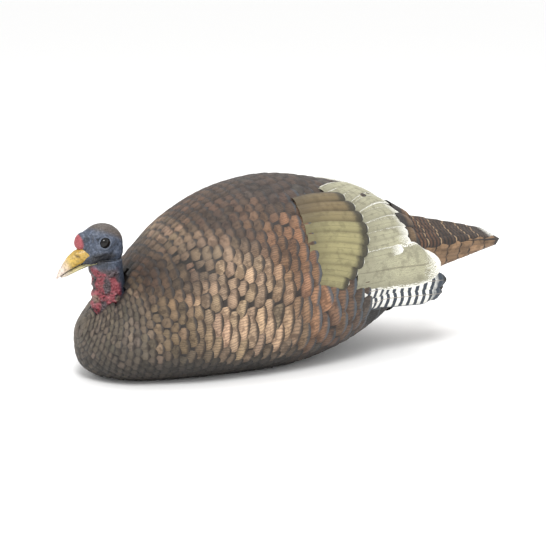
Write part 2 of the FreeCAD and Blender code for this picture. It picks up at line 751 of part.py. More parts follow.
def washer(name, outside, inside, thickness, z="0"):
    disc = cylinder(f"{name}_disc", outside, thickness, z=z)
    eye_of = cylinder(f"{name}_eye", inside, thickness, z=z)
    return cut(name, disc, eye_of)


def nut(name, tube, z):
    """A hexagon nut round a tube."""
    blank = doc.addObject("Part::Prism", f"{name}_blank")
    blank.Polygon = 6
    bind(blank, Circumradius=f"({tube} + $nut_wall) / cos(30)", Height="$nut_height")
    at(blank, z=z)
    return cut(name, blank, cylinder(f"{name}_bore", f"{tube} + $fit_gap", "$nut_height", z=z))


SOCKET_TOP = "($stake_depth + $socket_wall)"
stake_socket = turned(
    "stake_socket",
    [
        ("$stake_radius", "0"),
        ("$socket_flange_radius", "0"),
        ("$socket_flange_radius", "$socket_flange"),
        (SOCKET_OUTSIDE, "$socket_flange"),
        (SOCKET_OUTSIDE, SOCKET_TOP),
        ("0", SOCKET_TOP),
        ("0", "$stake_depth"),
        ("$stake_radius", "$stake_depth"),
    ],
)
socket_gasket = washer(
    "socket_gasket", "$socket_flange_radius", f"{SOCKET_OUTSIDE} + $fit_gap", "$gasket", "$socket_flange"
)
socket_nut = nut("socket_nut", SOCKET_OUTSIDE, SOCKET_NUT_Z)
socket_recess = cylinder(
    "socket_recess", "$socket_flange_radius + $fit_gap", f"2 * {SOCKET_SEAT}", z=f"-{SOCKET_SEAT}"
)
socket_hole = cylinder("socket_hole", f"{SOCKET_OUTSIDE} + $fit_gap", f"2 * {SOCKET_NUT_Z}")


# ---- the breather valve: it lets the shell breathe, and drains it with the plug pulled ----

STEM_HOLE = "($flap_stem + $fit_gap)"
FLAP_Z = f"({WEB_Z} + $valve_web)"
FLAP_BULB = "($flap_stem * 1.7)"
valve_blank = turned(
    "valve_blank",
    [
        ("$valve_radius", "$plug_head"),
        ("$valve_flange_radius", "$plug_head"),
        ("$valve_flange_radius", VALVE_GASKET_Z),
        (VALVE_OUTSIDE, VALVE_GASKET_Z),
        (VALVE_OUTSIDE, VALVE_TOP),
        ("$valve_radius", VALVE_TOP),
        ("$valve_radius", FLAP_Z),
        (STEM_HOLE, FLAP_Z),
        (STEM_HOLE, WEB_Z),
        ("$valve_radius", WEB_Z),
    ],
)
vents = [
    cylinder(
        f"vent_{i}",
        "$vent_radius",
        "$valve_web",
        f"$vent_circle * cos({angle})",
        f"$vent_circle * sin({angle})",
        WEB_Z,
    )
    for i, angle in enumerate(around(4))
]
valve_body = at_valve(cut("valve_body", valve_blank, *vents))
valve_gasket = at_valve(
    washer("valve_gasket", "$valve_flange_radius", f"{VALVE_OUTSIDE} + $fit_gap", "$gasket", VALVE_GASKET_Z)
)
valve_nut = at_valve(nut("valve_nut", VALVE_OUTSIDE, VALVE_NUT_Z))
valve_flap = at_valve(
    turned(
        "valve_flap",
        [
            ("0", f"{FLAP_Z} + $flap_wall"),
            ("$valve_radius - $flap_wall", f"{FLAP_Z} + $flap_wall"),
            ("$valve_radius - $flap_wall", FLAP_Z),
            ("$flap_stem", FLAP_Z),
            ("$flap_stem", WEB_Z),
            (FLAP_BULB, WEB_Z),
            (FLAP_BULB, f"{WEB_Z} - 2 * $flap_wall"),
            ("0", f"{WEB_Z} - 2 * $flap_wall"),
        ],
    )
)
valve_plug = at_valve(
    turned(
        "valve_plug",
        [
            ("0", "0"),
            ("$plug_head_radius", "0"),
            ("$plug_head_radius", "$plug_head - $fit_gap"),
            ("$valve_radius - $fit_gap", "$plug_head - $fit_gap"),
            ("$valve_radius - $fit_gap", "$plug_head + $plug_depth"),
            ("0", "$plug_head + $plug_depth"),
        ],
    )
)
valve_recess = cylinder("valve_recess", "$valve_flange_radius + $fit_gap", f"2 * {VALVE_SEAT}")
valve_recess.Placement = valve_place.multiply(
    FreeCAD.Placement(Vector(0, 0, -number(VALVE_SEAT)), FreeCAD.Rotation())
)
valve_hole = at_valve(cylinder("valve_hole", f"{VALVE_OUTSIDE} + $fit_gap", f"2 * {VALVE_NUT_Z}"))


# ---- the body shell, with everything above let into it ----

ground = doc.addObject("Part::Box", "ground")
bind(ground, Length="2 * $body_length", Width="2 * $body_length", Height="$body_height")
at(ground, x="-$body_length", y="-$body_length", z="-$body_height")
body_solid = cut(
    "body_solid", fuse("body_blank", outer_skin, wing_left, wing_right, socket_boss), ground
)
body_void = cut("body_void", hollow, well_tube, socket_boss, valve_boss)
well_bore = cylinder("well_bore", WELL_RADIUS, "$body_height", SWIVEL_X, z="$well_floor")
hub_hole = cylinder(
    "hub_hole",
    "$collar_hub_radius + $fit_gap",
    "2 * $shell_wall",
    SWIVEL_X,
    z="$well_floor - 1.5 * $shell_wall",
)
body_shell = cut(
    "body_shell",
    body_solid,
    body_void,
    well_bore,
    hub_hole,
    screw_pilots,
    rump_opening,
    rump_recess,
    socket_recess,
    socket_hole,
    valve_recess,
    valve_hole,
)
doc.recompute()

NODES = [
    body_shell,
    neck_collar,
    collar_screws,
    swivel_bush,
    friction_ring,
    swivel_clip,
    neck_plug,
    plug_screws,
    neck_stiffener,
    head_shell,
    eye_left,
    eye_right,
    tail_shell,
    rump_collar,
    stake_socket,
    socket_gasket,
    socket_nut,
    valve_body,
    valve_gasket,
    valve_nut,
    valve_flap,
    valve_plug,
]
for obj in doc.Objects:
    if "Invalid" in obj.State or "Error" in obj.State:
        raise ValueError(f"{obj.Label} did not compute: {obj.State}")
for obj in NODES:
    if obj.Shape.isNull() or not obj.Shape.isValid():
        raise ValueError(f"{obj.Label} has no valid shape")
os.makedirs("parts", exist_ok=True)
for obj in NODES:
    obj.Shape.exportStep(f"parts/{obj.Label}.step")
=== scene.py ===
# %% [markdown]
# # A lay-down turkey hen decoy
# The frame holds the moulded body, the tail, the plug-in head's hardware, the stake socket and the
# breather valve. What is made here is what a sculptor and a painter add to such a decoy: the feather
# relief, tract by tract, and the head.

# %% Frame
import math
from functools import partial

import bmesh
import bpy
import numpy as np
from mathutils import Euler, Matrix, Vector, noise
from mathutils.bvhtree import BVHTree


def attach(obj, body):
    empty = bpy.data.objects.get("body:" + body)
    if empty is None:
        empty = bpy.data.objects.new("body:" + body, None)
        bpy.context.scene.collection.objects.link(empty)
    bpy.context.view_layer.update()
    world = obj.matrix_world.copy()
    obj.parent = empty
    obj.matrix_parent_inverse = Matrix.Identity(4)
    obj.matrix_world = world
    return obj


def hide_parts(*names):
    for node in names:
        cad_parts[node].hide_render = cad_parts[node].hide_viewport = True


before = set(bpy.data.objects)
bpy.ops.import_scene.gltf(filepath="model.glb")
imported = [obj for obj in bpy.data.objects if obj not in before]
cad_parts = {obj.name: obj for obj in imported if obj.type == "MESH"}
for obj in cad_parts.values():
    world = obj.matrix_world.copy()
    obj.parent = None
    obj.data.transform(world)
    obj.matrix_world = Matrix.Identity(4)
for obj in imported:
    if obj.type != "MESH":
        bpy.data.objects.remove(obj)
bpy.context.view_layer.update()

scene = bpy.context.scene
chance = np.random.default_rng(7)
MM = 0.001


def linear(hex_colour):
    """A painter's sRGB hex as linear red, green and blue."""
    parts = np.array([int(hex_colour[i : i + 2], 16) / 255 for i in (1, 3, 5)])
    return np.where(parts <= 0.04045, parts / 12.92, ((parts + 0.055) / 1.055) ** 2.4)


def ramp(values, places, results):
    """Straight-line steps between results, which may be colours."""
    results = np.asarray(results, float)
    if results.ndim == 1:
        return np.interp(values, places, results)
    return np.stack([np.interp(values, places, results[:, k]) for k in range(3)], axis=-1)


def step(values, low, high):
    """0 below low, 1 above high, and a smooth rise between."""
    t = np.clip((np.asarray(values, float) - low) / (high - low), 0, 1)
    return t * t * (3 - 2 * t)


def mix(a, b, share):
    return a + (b - a) * np.asarray(share)[..., None]


# %% [markdown]
# ## Reading the moulded skin
# Feathers are modelled on the bare moulding, so its surface is read off the frame first. A shrinkwrap
# would do for one sheet, but feathers need a place, a direction and a size on the surface. So the
# body is measured like a lathe job: rings along its length, and angles round each ring, with the
# breast capped by rings that close in on its front. Angle 0 is the decoy's left side and 90 its back.

# %% Measuring rays
WING_TIP = 0.182
CAP = 0.12  # the breast's cap, from its front to the first upright ring
CAP_X = -0.200
AXIS_LOW, AXIS_HIGH = 0.066, 0.118
SWIVEL_X = -0.241
WELL = 26 * MM
TAIL_ROOT, TAIL_LONG = 0.168, 0.141
CLEAR_OF_FLOOR = 0.4 * MM
EDGE_DROP = 7 * MM  # past a drop this deep, a skin runs on level over the edge


def tree_of(*names):
    """A ray-cast tree of some nodes of the frame."""
    corners = []
    faces = []
    for name in names:
        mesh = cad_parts[name].data
        start = len(corners)
        corners.extend(v.co.copy() for v in mesh.vertices)
        faces.extend([start + i for i in p.vertices] for p in mesh.polygons)
    return BVHTree.FromPolygons(corners, faces)


def body_ray(s, angle):
    """Where a measuring ray starts, on the body's axis, and the way it points."""
    x = CAP_X + max(s - CAP, 0)
    tilt = math.pi / 2 * max(1 - s / CAP, 0)
    middle = AXIS_LOW + (AXIS_HIGH - AXIS_LOW) * float(step(x, -0.20, 0.02))
    a = math.radians(angle)
    flat = math.cos(tilt)
    return Vector((x, 0, middle)), Vector((-math.sin(tilt), -flat * math.cos(a), flat * math.sin(a)))


def tail_ray(s, angle):
    a = math.radians(angle)
    middle = np.interp(s, [0, TAIL_LONG], [AXIS_HIGH, AXIS_HIGH + 4 * MM])
    return Vector((TAIL_ROOT + s, 0, middle)), Vector((0, -math.cos(a), math.sin(a)))


body_tree = tree_of("body_shell")
tail_tree = tree_of("tail_shell")
print("body ray at the breast:", body_ray(0, 0)[1], "and at the hip:", body_ray(0.3, 0)[1])

# %% A skin to lay feathers on
TURN = 3  # degrees from one measured point round a ring to the next
FAR_OUT = 0.5  # where inward rays start, in metres from the axis
HIGHEST_FOLD = 6 * MM


class Skin:
    """A skin as points over s, in metres along it, and an angle round it, in degrees."""

    def __init__(self, tree, ray, stations, span, inside_wall=None, carry=False, spread=0):
        self.s = np.asarray(stations)
        self.turns = np.arange(0, 360, TURN)
        reach = np.full((len(self.s), len(self.turns)), np.nan)
        starts = np.zeros((len(self.s), 3))
        ways = np.zeros((len(self.s), len(self.turns), 3))
        for i, s in enumerate(self.s):
            for j, angle in enumerate(self.turns):
                start, way = ray(s, angle)
                starts[i] = start
                ways[i, j] = way
                if inside_wall and inside_wall[0](start.x, angle):
                    hit, _, _, far = tree.ray_cast(start, way)
                    if hit is not None:
                        reach[i, j] = far + inside_wall[1]
                else:
                    hit, _, _, far = tree.ray_cast(start + way * FAR_OUT, -way, FAR_OUT)
                    if hit is not None and math.hypot(hit.x - SWIVEL_X, hit.y) > WELL + 0.5 * MM:
                        reach[i, j] = FAR_OUT - far
        # rays that met nothing take their neighbours' reach
        for i, row in enumerate(reach):
            if carry and i:
                row = reach[i] = np.where(np.isnan(row), reach[i - 1], row)
            good = np.flatnonzero(~np.isnan(row))
            if len(good) < 8:
                reach[i] = reach[i - 1]
            elif len(good) < len(row):
                wide = np.concatenate([good - len(row), good, good + len(row)])
                reach[i] = np.interp(np.arange(len(row)), wide, np.tile(row[good], 3))
        for _ in range(spread):
            before = np.concatenate([reach[:1], reach[:-1]])
            for beside in (np.roll(reach, 1, 1), np.roll(reach, -1, 1), before):
                reach = np.where(beside - reach > EDGE_DROP, beside, reach)
        outer = reach.copy()
        for _ in range(span):
            reach[1:-1] = (reach[:-2] + 2 * reach[1:-1] + reach[2:]) / 4
            reach = (np.roll(reach, 1, 1) + 2 * reach + np.roll(reach, -1, 1)) / 4
        proud = np.clip(outer - reach, 0, HIGHEST_FOLD)
        for _ in range(2):
            proud = np.maximum(proud, np.maximum(np.roll(proud, 1, 1), np.roll(proud, -1, 1)))
        self.proud = proud[..., None]
        self.points = starts[:, None] + ways * reach[..., None]
        along = np.gradient(self.points, axis=0)
        round_it = np.roll(self.points, -1, 1) - np.roll(self.points, 1, 1)
        normals = np.cross(round_it, along)
        normals /= np.linalg.norm(normals, axis=-1, keepdims=True)
        outward = (normals * ways).sum(-1, keepdims=True)
        self.normals = np.where(outward < 0, -normals, normals)

    def read(self, grid, s, angle):
        """A grid's value between its four nearest points."""
        rows = np.interp(s, self.s, np.arange(len(self.s)))
        low = np.clip(rows.astype(int), 0, len(self.s) - 2)
        up = (rows - low)[..., None]
        turns = np.mod(angle, 360) / TURN
        left = turns.astype(int) % len(self.turns)
        right = (left + 1) % len(self.turns)
        over = (turns - np.floor(turns))[..., None]
        lower = grid[low, left] * (1 - over) + grid[low, right] * over
        upper = grid[low + 1, left] * (1 - over) + grid[low + 1, right] * over
        return lower * (1 - up) + upper * up

    def point(self, s, angle):
        return self.read(self.points, s, angle)

    def normal(self, s, angle):
        found = self.read(self.normals, s, angle)
        return found / np.linalg.norm(found, axis=-1, keepdims=True)

    def ridge(self, s, angle):
        """How far the moulding's own folds stand above the smoothed skin."""
        return self.read(self.proud, s, angle)[..., 0]

    def girth(self, s, angle):
        """Metres round the skin for each degree."""
        a = self.point(s, angle - 2)
        b = self.point(s, angle + 2)
        return np.linalg.norm(b - a, axis=-1) / 4

    def angle_at(self, s, height):
        """The angle on the left side where the skin has a height."""
        turns = np.arange(-80, 91, 2.0)
        heights = self.point(np.full(len(turns), float(s)), turns)[:, 2]
        return float(np.interp(height, heights, turns))


# %% The decoy's three skins
WALL = 3 * MM


def under_wing(x, angle):
    """Where the body's own side is hidden from outside by a free wing tip."""
    return x > 0.06 and (angle < 60 or angle > 300 or 120 < angle < 240)


# the body without its wing tips, the body with them, and the tail
to_rump = np.linspace(0.5 * MM, TAIL_ROOT - 2 * MM - CAP_X + CAP, 122)
to_wing_tip = np.linspace(0.20, WING_TIP + 5 * MM - CAP_X + CAP, 110)
bare = Skin(body_tree, body_ray, to_rump, span=3, inside_wall=(under_wing, WALL))
winged = Skin(body_tree, body_ray, to_wing_tip, span=2, carry=True, spread=2)
tail_skin = Skin(tail_tree, tail_ray, np.linspace(0.002, 0.139, 40), span=4)
print("skins:", bare.points.shape, winged.points.shape, tail_skin.points.shape)

# %% [markdown]
# ## One feather, thousands of times
# Each feather is a small pillow that follows the skin: a grid from root to tip, crowned across its
# shaft, lifted at the tip so that it lies on the row behind, with a rim that goes down into the
# moulding. A carved master for a mould has just this form. A particle system could scatter copies,
# but a moulded feather has to bend with the body, so each grid is worked out on the skin. A tract is
# one mesh of many feathers, and each one carries its own tints, so that no two are painted alike.

# %% Feathers
SUNK = 0.8 * MM  # how far a feather's rim goes into the moulding


def outline(v, blunt, root, square):
    """Half width along a feather as a share: root width, then full, then a rounded tip."""
    body = root + (1 - root) * step(v, 0, 0.45)
    tip = np.clip((v - blunt) / (1 - blunt), 0, 1)
    return body * np.sqrt(np.clip(1 - tip**square, 0.03, 1))


def feather_tract(name, skin, roots, tips, widths, tints, rims, lifts, blunt=0.45, root=0.7,
                  crown=1.2 * MM, tip_lift=1.6 * MM, square=2.2, sides=9, steps=9, mirrored=False):
    """One mesh of feathers on a skin, each a grid of points from root to tip. Roots and tips are
    (s, angle) pairs; widths are in metres; lifts raise each root."""
    roots = np.asarray(roots, float)
    tips = np.asarray(tips, float)
    count = len(roots)
    widths = np.broadcast_to(widths, count)
    lifts = np.broadcast_to(lifts, count)
    u = np.sin(np.linspace(-1, 1, sides) * math.pi / 2)
    v = 1 - (1 - np.linspace(0, 1, steps)) ** 1.5
    share_v = v[None, :, None]
    share_u = u[None, None, :]
    around = skin.girth(*((roots + tips) / 2).T)
    run = tips - roots
    metric = np.stack([run[:, 0], run[:, 1] * around], axis=1)
    length = np.linalg.norm(metric, axis=1)
    way = metric / length[:, None]
    half = widths[:, None, None] / 2 * outline(share_v, blunt, root, square)
    side = half * share_u
    along_s = way[:, 0, None, None] * length[:, None, None] * share_v - way[:, 1, None, None] * side
    along_a = way[:, 1, None, None] * length[:, None, None] * share_v + way[:, 0, None, None] * side
    s = roots[:, 0, None, None] + along_s
    angle = roots[:, 1, None, None] + along_a / around[:, None, None]
    if mirrored:
        angle = 180 - angle
    points = skin.point(s, angle)
    normals = skin.normal(s, angle)
    rise = lifts[:, None, None] + tip_lift * share_v**1.4
    rise = rise + crown * (1 - share_u**2) * (1 - 0.5 * share_v**6)
    rise = rise - 0.35 * MM * (np.abs(share_u) > 0.97) - 0.4 * MM * share_v**8
    top = points + normals * rise[..., None]
    rim_u = np.concatenate([np.zeros(steps, int), np.arange(1, sides - 1), np.full(steps, sides - 1)])
    rim_v = np.concatenate([np.arange(steps), np.full(sides - 2, steps - 1), np.arange(steps)[::-1]])
    rim_index = rim_v * sides + rim_u
    flat_top = top.reshape(count, -1, 3)
    skirt = (points - normals * SUNK).reshape(count, -1, 3)[:, rim_index]
    corners = np.concatenate([flat_top, skirt], axis=1)
    corners[..., 2] = np.maximum(corners[..., 2], CLEAR_OF_FLOOR)
    each = corners.shape[1]
    quads = []
    for i in range(steps - 1):
        for j in range(sides - 1):
            a = i * sides + j
            quads.append((a, a + 1, a + sides + 1, a + sides))
    base = steps * sides
    for k in range(len(rim_index) - 1):
        quads.append((rim_index[k + 1], rim_index[k], base + k, base + k + 1))
    quads = np.array(quads)
    if mirrored:
        quads = quads[:, ::-1]
    faces = (quads[None] + (np.arange(count) * each)[:, None, None]).reshape(-1, 4)
    mesh = bpy.data.meshes.new(name)
    mesh.vertices.add(count * each)
    mesh.vertices.foreach_set("co", corners.ravel())
    mesh.loops.add(faces.size)
    mesh.loops.foreach_set("vertex_index", faces[:, ::-1].ravel())
    mesh.polygons.add(len(faces))
    mesh.polygons.foreach_set("loop_start", np.arange(len(faces)) * 4)
    mesh.polygons.foreach_set("use_smooth", np.ones(len(faces), bool))
    mesh.update(calc_edges=True)
    grid_u = np.tile((u + 1) / 2, steps)
    grid_v = np.repeat(v, sides)
    each_u = np.concatenate([grid_u, grid_u[rim_index]])
    each_v = np.concatenate([grid_v, grid_v[rim_index]])
    # a second map gives every feather a cell of its own on one sheet
    cells = math.ceil(math.sqrt(count))
    cell_u = np.arange(count) % cells
    cell_v = np.arange(count) // cells
    even_u = np.tile(np.linspace(0.08, 0.92, sides), steps)
    even_v = np.repeat(np.linspace(0.08, 0.92, steps), sides)
    spread_u = np.concatenate([even_u, 0.5 + (even_u[rim_index] - 0.5) * 1.15])
    spread_v = np.concatenate([even_v, 0.5 + (even_v[rim_index] - 0.5) * 1.15])
    loops = faces[:, ::-1].ravel()
    which = loops // each
    local = loops % each
    pattern = mesh.uv_layers.new(name="feather")
    pattern.data.foreach_set("uv", np.stack([each_u[local], each_v[local]], 1).ravel())
    atlas = mesh.uv_layers.new(name="OFBake")
    places = np.stack([cell_u[which] + spread_u[local], cell_v[which] + spread_v[local]], 1) / cells
    atlas.data.foreach_set("uv", places.ravel())
    for label, colours in (("tint", tints), ("rim", rims)):
        layer = mesh.attributes.new(label, "FLOAT_COLOR", "POINT")
        full = np.ones((count, each, 4))
        full[..., :3] = np.broadcast_to(colours, (count, 3))[:, None]
        layer.data.foreach_set("color", full.ravel())
    luck = mesh.attributes.new("luck", "FLOAT", "POINT")
    luck.data.foreach_set("value", np.repeat(chance.random(count), each))
    made = bpy.data.objects.new(name, mesh)
    scene.collection.objects.link(made)
    print(name, count, "feathers,", len(faces), "faces")
    return made


# %% [markdown]
# ## Paints
# The moulding is a matt, slightly rubbery plastic, and everything on it is thin acrylic: a dark wash
# that also paints the shade in the crevices, body colour dry-brushed over it as a painted highlight on the
# crowns, and fine strokes along the barbs.
# Acrylic on plastic has an index of refraction near 1.5 and dries satin, not glossy. Painted pictures
# wrapped on the form would fix the strokes at one size; nodes draw them at the real one. A paint is
# built as a painter works: coat over coat, each where its share lets it take.

# %% Shader helpers
# near black: painted shade in the crevices and under the covering row, and the default colour of bars
SHADE_AND_BAR_BLACK = "#120e0b"
PAINT_DEPTH = 0.56  # acrylics dry darker than they mix
SMOOTH = {"interpolation_type": "SMOOTHSTEP"}
COLOURS = {"data_type": "RGBA", "out": 2}


def put(tree, kind, *inputs, out=0, **settings):
    """Adds a shader node with its settings and links, and gives one of its outputs. Inputs are
    values or sockets, in the node's own order or by key in one dictionary."""
    node = tree.nodes.new("ShaderNode" + kind)
    for key, value in settings.items():
        setattr(node, key, value)
    keyed = inputs[0] if inputs and isinstance(inputs[0], dict) else dict(enumerate(inputs))
    for key, value in keyed.items():
        if isinstance(value, bpy.types.NodeSocket):
            tree.links.new(value, node.inputs[key])
        else:
            node.inputs[key].default_value = value
    return node.outputs[out]


def rgba(colour):
    return (*(linear(colour) if isinstance(colour, str) else colour), 1)


def patches(size_mm, place, detail=3.0):
    """What a noise needs for patches of a real size across."""
    return {"Vector": place, "Scale": 1000 / size_mm, "Detail": detail, "Roughness": 0.55}


def paint(name, **surface):
    """A new material: its surface shader, a hand that adds to its tree, and a place on the object."""
    made = bpy.data.materials.new(name)
    made.use_nodes = True
    shader = made.node_tree.nodes["Principled BSDF"]
    for key, value in surface.items():
        shader.inputs[key.replace("_", " ")].default_value = value
    add = partial(put, made.node_tree)
    return made, shader, add, add("TexCoord", out="Object")


def lay(made, shader, add, colour, coats, **finish):
    """Lays coats of a share and a tone over a colour, and links the surface up."""
    for share, tone in coats:
        colour = add("Mix", {0: share, 6: colour, 7: tone}, **COLOURS)
    for key, value in {"Base Color": colour, **finish}.items():
        made.node_tree.links.new(value, shader.inputs[key])
    return made


# %% Feather paint
def feather_paint(name, barbs, slant, stroke, mottle=0.4, covered=0.0, rim_width=0.16, rim_share=0.9,
                  shaft=0.4, bars=0.0, bar_colour=SHADE_AND_BAR_BLACK, white_edge=0.0, tip_band=0.0, tip_line=0.0,
                  dark_edge=0.6, roughness=0.62):
    """Acrylic over a moulded feather. Barbs run out from the shaft; slant turns them across it."""
    made, shader, add, place = paint(name, IOR=1.5)
    uv = add("UVMap", uv_map="feather")
    u, v = [add("SeparateXYZ", uv, out=axis) for axis in "XY"]
    luck = add("Attribute", attribute_name="luck", out="Fac")
    tint, rim = [add("Attribute", attribute_name=label, out="Color") for label in ("tint", "rim")]
    patch, ripple, fleck = [add("TexNoise", patches(size, place)) for size in (9, 4, 1.2)]
    wobble = add("Math", ripple, 0.2, -0.1, operation="MULTIPLY_ADD")
    off = add("Math", add("Math", u, 2.0, -1.0, operation="MULTIPLY_ADD"), operation="ABSOLUTE")
    rim_way = add("Math", off, v, operation="MAXIMUM")
    edge = add("Math", wobble, 0.4, rim_way, operation="MULTIPLY_ADD")
    # barbs: fine lines that fan from the shaft toward the tip
    fan = add("Math", v, slant - 1.0, wobble, operation="MULTIPLY_ADD")
    fan = add("Math", add("Math", off, slant, fan, operation="MULTIPLY_ADD"), luck, operation="ADD")
    line = add("Math", fan, barbs * 2 * math.pi, operation="MULTIPLY")
    line = add("Math", add("Math", line, operation="SINE"), 0.5, 0.5, operation="MULTIPLY_ADD")
    # shaded and lit copies of the tint: for painted shade and painted highlight, and also for dark barb
    # strokes and blotches
    dark, light = [add("Mix", {0: 1.0, 6: tint, 7: strength}, blend_type="MULTIPLY", **COLOURS)
                   for strength in ((0.34, 0.30, 0.28, 1), (1.45, 1.4, 1.32, 1))]
    # a painted highlight dry-brushed on the crown of the exposed part, and painted shade at its sides
    crown = add("Math", add("MapRange", off, 0.95, 0.25, **SMOOTH),
                add("MapRange", v, covered, covered * 0.45 + 0.55, **SMOOTH), operation="MULTIPLY")
    painted_highlight = add("Math", add("Math", line, crown, operation="MULTIPLY"),
                  add("MapRange", patch, 0.35, 0.62, 0.15, 1.0, **SMOOTH), operation="MULTIPLY")
    on_rim = add("MapRange", edge, 1.0 - rim_width, 1.0 - rim_width * 0.4, **SMOOTH)
    coats = [
        (dark_edge, dark),
        (crown, tint),
        (add("Math", painted_highlight, stroke, operation="MULTIPLY"), light),
        (add("MapRange", line, 0.25, 0.0, 0.0, 0.45 * stroke, interpolation_type="SMOOTHSTEP"), dark),
        (add("MapRange", patch, 0.48, 0.36, 0.0, mottle, **SMOOTH), dark),
    ]
    if bars:
        run = add("Math", off, 0.02, v, operation="MULTIPLY_ADD")
        run = add("Math", wobble, 0.10, run, operation="MULTIPLY_ADD")
        wave = add("Math", add("Math", run, bars * 2 * math.pi, operation="MULTIPLY"), operation="SINE")
        coats.append((add("MapRange", wave, -0.1, 0.35, **SMOOTH), rgba(bar_colour)))
    coats.append((add("Math", on_rim, rim_share, operation="MULTIPLY"), rim))
    if shaft:
        coats.append((add("MapRange", off, 0.06, 0.015, 0.0, shaft, **SMOOTH), dark))
    if tip_band:
        at_tip = add("Math", wobble, 0.5, v, operation="MULTIPLY_ADD")
        band = add("MapRange", at_tip, 1 - tip_band, 1 - tip_band * 0.5, 0.0, 0.8, **SMOOTH)
        coats.append((band, rgba("#a98d6c")))
    if white_edge:
        near = add("Math", wobble, 0.5, rim_way, operation="MULTIPLY_ADD")
        near = add("Math", line, white_edge * 0.45, near, operation="MULTIPLY_ADD")
        white = add("MapRange", near, 1.02 - white_edge * 0.35, 1.04 - white_edge * 0.1, **SMOOTH)
        coats.append((white, rgba("#e4e3da")))
    if tip_line:
        for low, high, tone in ((3, 1.6, "#26241c"), (0.9, 0.6, "#dedccb")):
            at_line = add("MapRange", v, 1 - low * tip_line, 1 - high * tip_line, **SMOOTH)
            coats.append((at_line, rgba(tone)))
    elif not white_edge:
        # a thin line of painted shade in the crevice at the feather's very edge
        coats.append((add("MapRange", edge, 0.955, 0.995, 0.0, 0.85, **SMOOTH), rgba(SHADE_AND_BAR_BLACK)))
    if covered:
        # painted shade on the root, where the row in front covers it
        coats.append((add("MapRange", v, covered + 0.1, covered, 0.0, 0.9, **SMOOTH), rgba(SHADE_AND_BAR_BLACK)))
    height = add("Math", line, 0.8, fleck, operation="MULTIPLY_ADD")
    return lay(made, shader, add, tint, coats, **{
        "Roughness": add("MapRange", patch, 0.3, 0.7, roughness + 0.06, roughness - 0.08, **SMOOTH),
        "Normal": add("Bump", {"Strength": 0.6, "Distance": 0.4 * MM, "Height": height}),
    })


# %% [markdown]
# ## Contour feathers
# Breast, mantle, sides, back and rump are one run of rows from the breast to the rump. Rows start
# close and small and open out, as on the bird, and each row stands half a feather off the one before,
# like roof tiles. A texture of scales would be flat at the outline, and hand placing would take a
# thousand choices. On the flank, below a crease, the feathers are over half as tall again.
# Tints run from grey-brown on the breast through bronze on the side to orange-brown with slate
# edges before the wing, with near black painted shade under the belly and under the wing tips.

# %% Rows of contour feathers
def row_pitch(s):
    return ramp(s, [0.0, 0.06, 0.12, 0.22, 0.34, 0.50], [5.2, 6.8, 8.6, 11.6, 13.5, 13.0]) * MM


def crease(x):
    """Height of the fold where the shoulder feathers end and the flank feathers begin, in mm."""
    return ramp(x, [-245, -180, -160, -110, -70, -20, 10], [66, 70, 96, 102, 103, 113, 120])


def feather_width(x, z, left):
    """How tall a feather stands, in metres, by its place in millimetres."""
    wide = ramp(x, [-285, -250, -200, -130, -70, 0, 168], [9, 11, 15, 20, 25, 25, 19])
    wide = wide * (1 - 0.32 * step(z, 150, 190) * step(-x, 20, 80))
    under = step(crease(x) - z, -10, 14) * step(z, 34, 48) * step(left, 45, 65)
    return wide * (1 + 0.6 * under * step(x, -215, -165)) * MM


FIRST_ROW, LAST_ROW = 0.005, 0.482
CROWDING = 1.16  # feathers in a row for each one that would fit edge to edge
BY_NECK = 27.3

rows = [FIRST_ROW]
while rows[-1] < LAST_ROW:
    rows.append(rows[-1] + float(row_pitch(rows[-1])))
sites = []
turns = np.arange(0, 360, 2.0)
for index, s in enumerate(rows):
    ring = bare.point(np.full(len(turns), s), turns) / MM
    steps = bare.girth(np.full(len(turns), s), turns) * 2.0
    share = steps / feather_width(ring[:, 0], ring[:, 2], np.abs(ring[:, 1]))
    total = np.concatenate([[0], np.cumsum(share)])
    number = max(8, round(total[-1] * CROWDING))
    wanted = (np.arange(number) + (index % 2) / 2 + 0.25) * total[-1] / number
    for angle in np.interp(wanted % total[-1], total, np.concatenate([turns, [360]])):
        sites.append((s, angle))
sites = np.array(sites)
x, y, z = bare.point(sites[:, 0], sites[:, 1]).T / MM
left = np.abs(y)
from_neck = np.hypot(x - SWIVEL_X / MM, y)
in_wing = (x > -24) & (x < 126) & (z > 113) & (z < 203) & (left > 30)
in_wing |= (x > 60) & (x < 160) & (z > 62) & (z < 150) & (left > 45)
near_socket = (z < 30) & (left < 60) & (x > -30) & (x < 120)
keep = (from_neck > BY_NECK) & (z > 3.0) & ~in_wing & ~near_socket
sites, x, y, z, left = sites[keep], x[keep], y[keep], z[keep], left[keep]
count = len(sites)
print(len(rows), "rows of contour feathers,", count, "feathers")

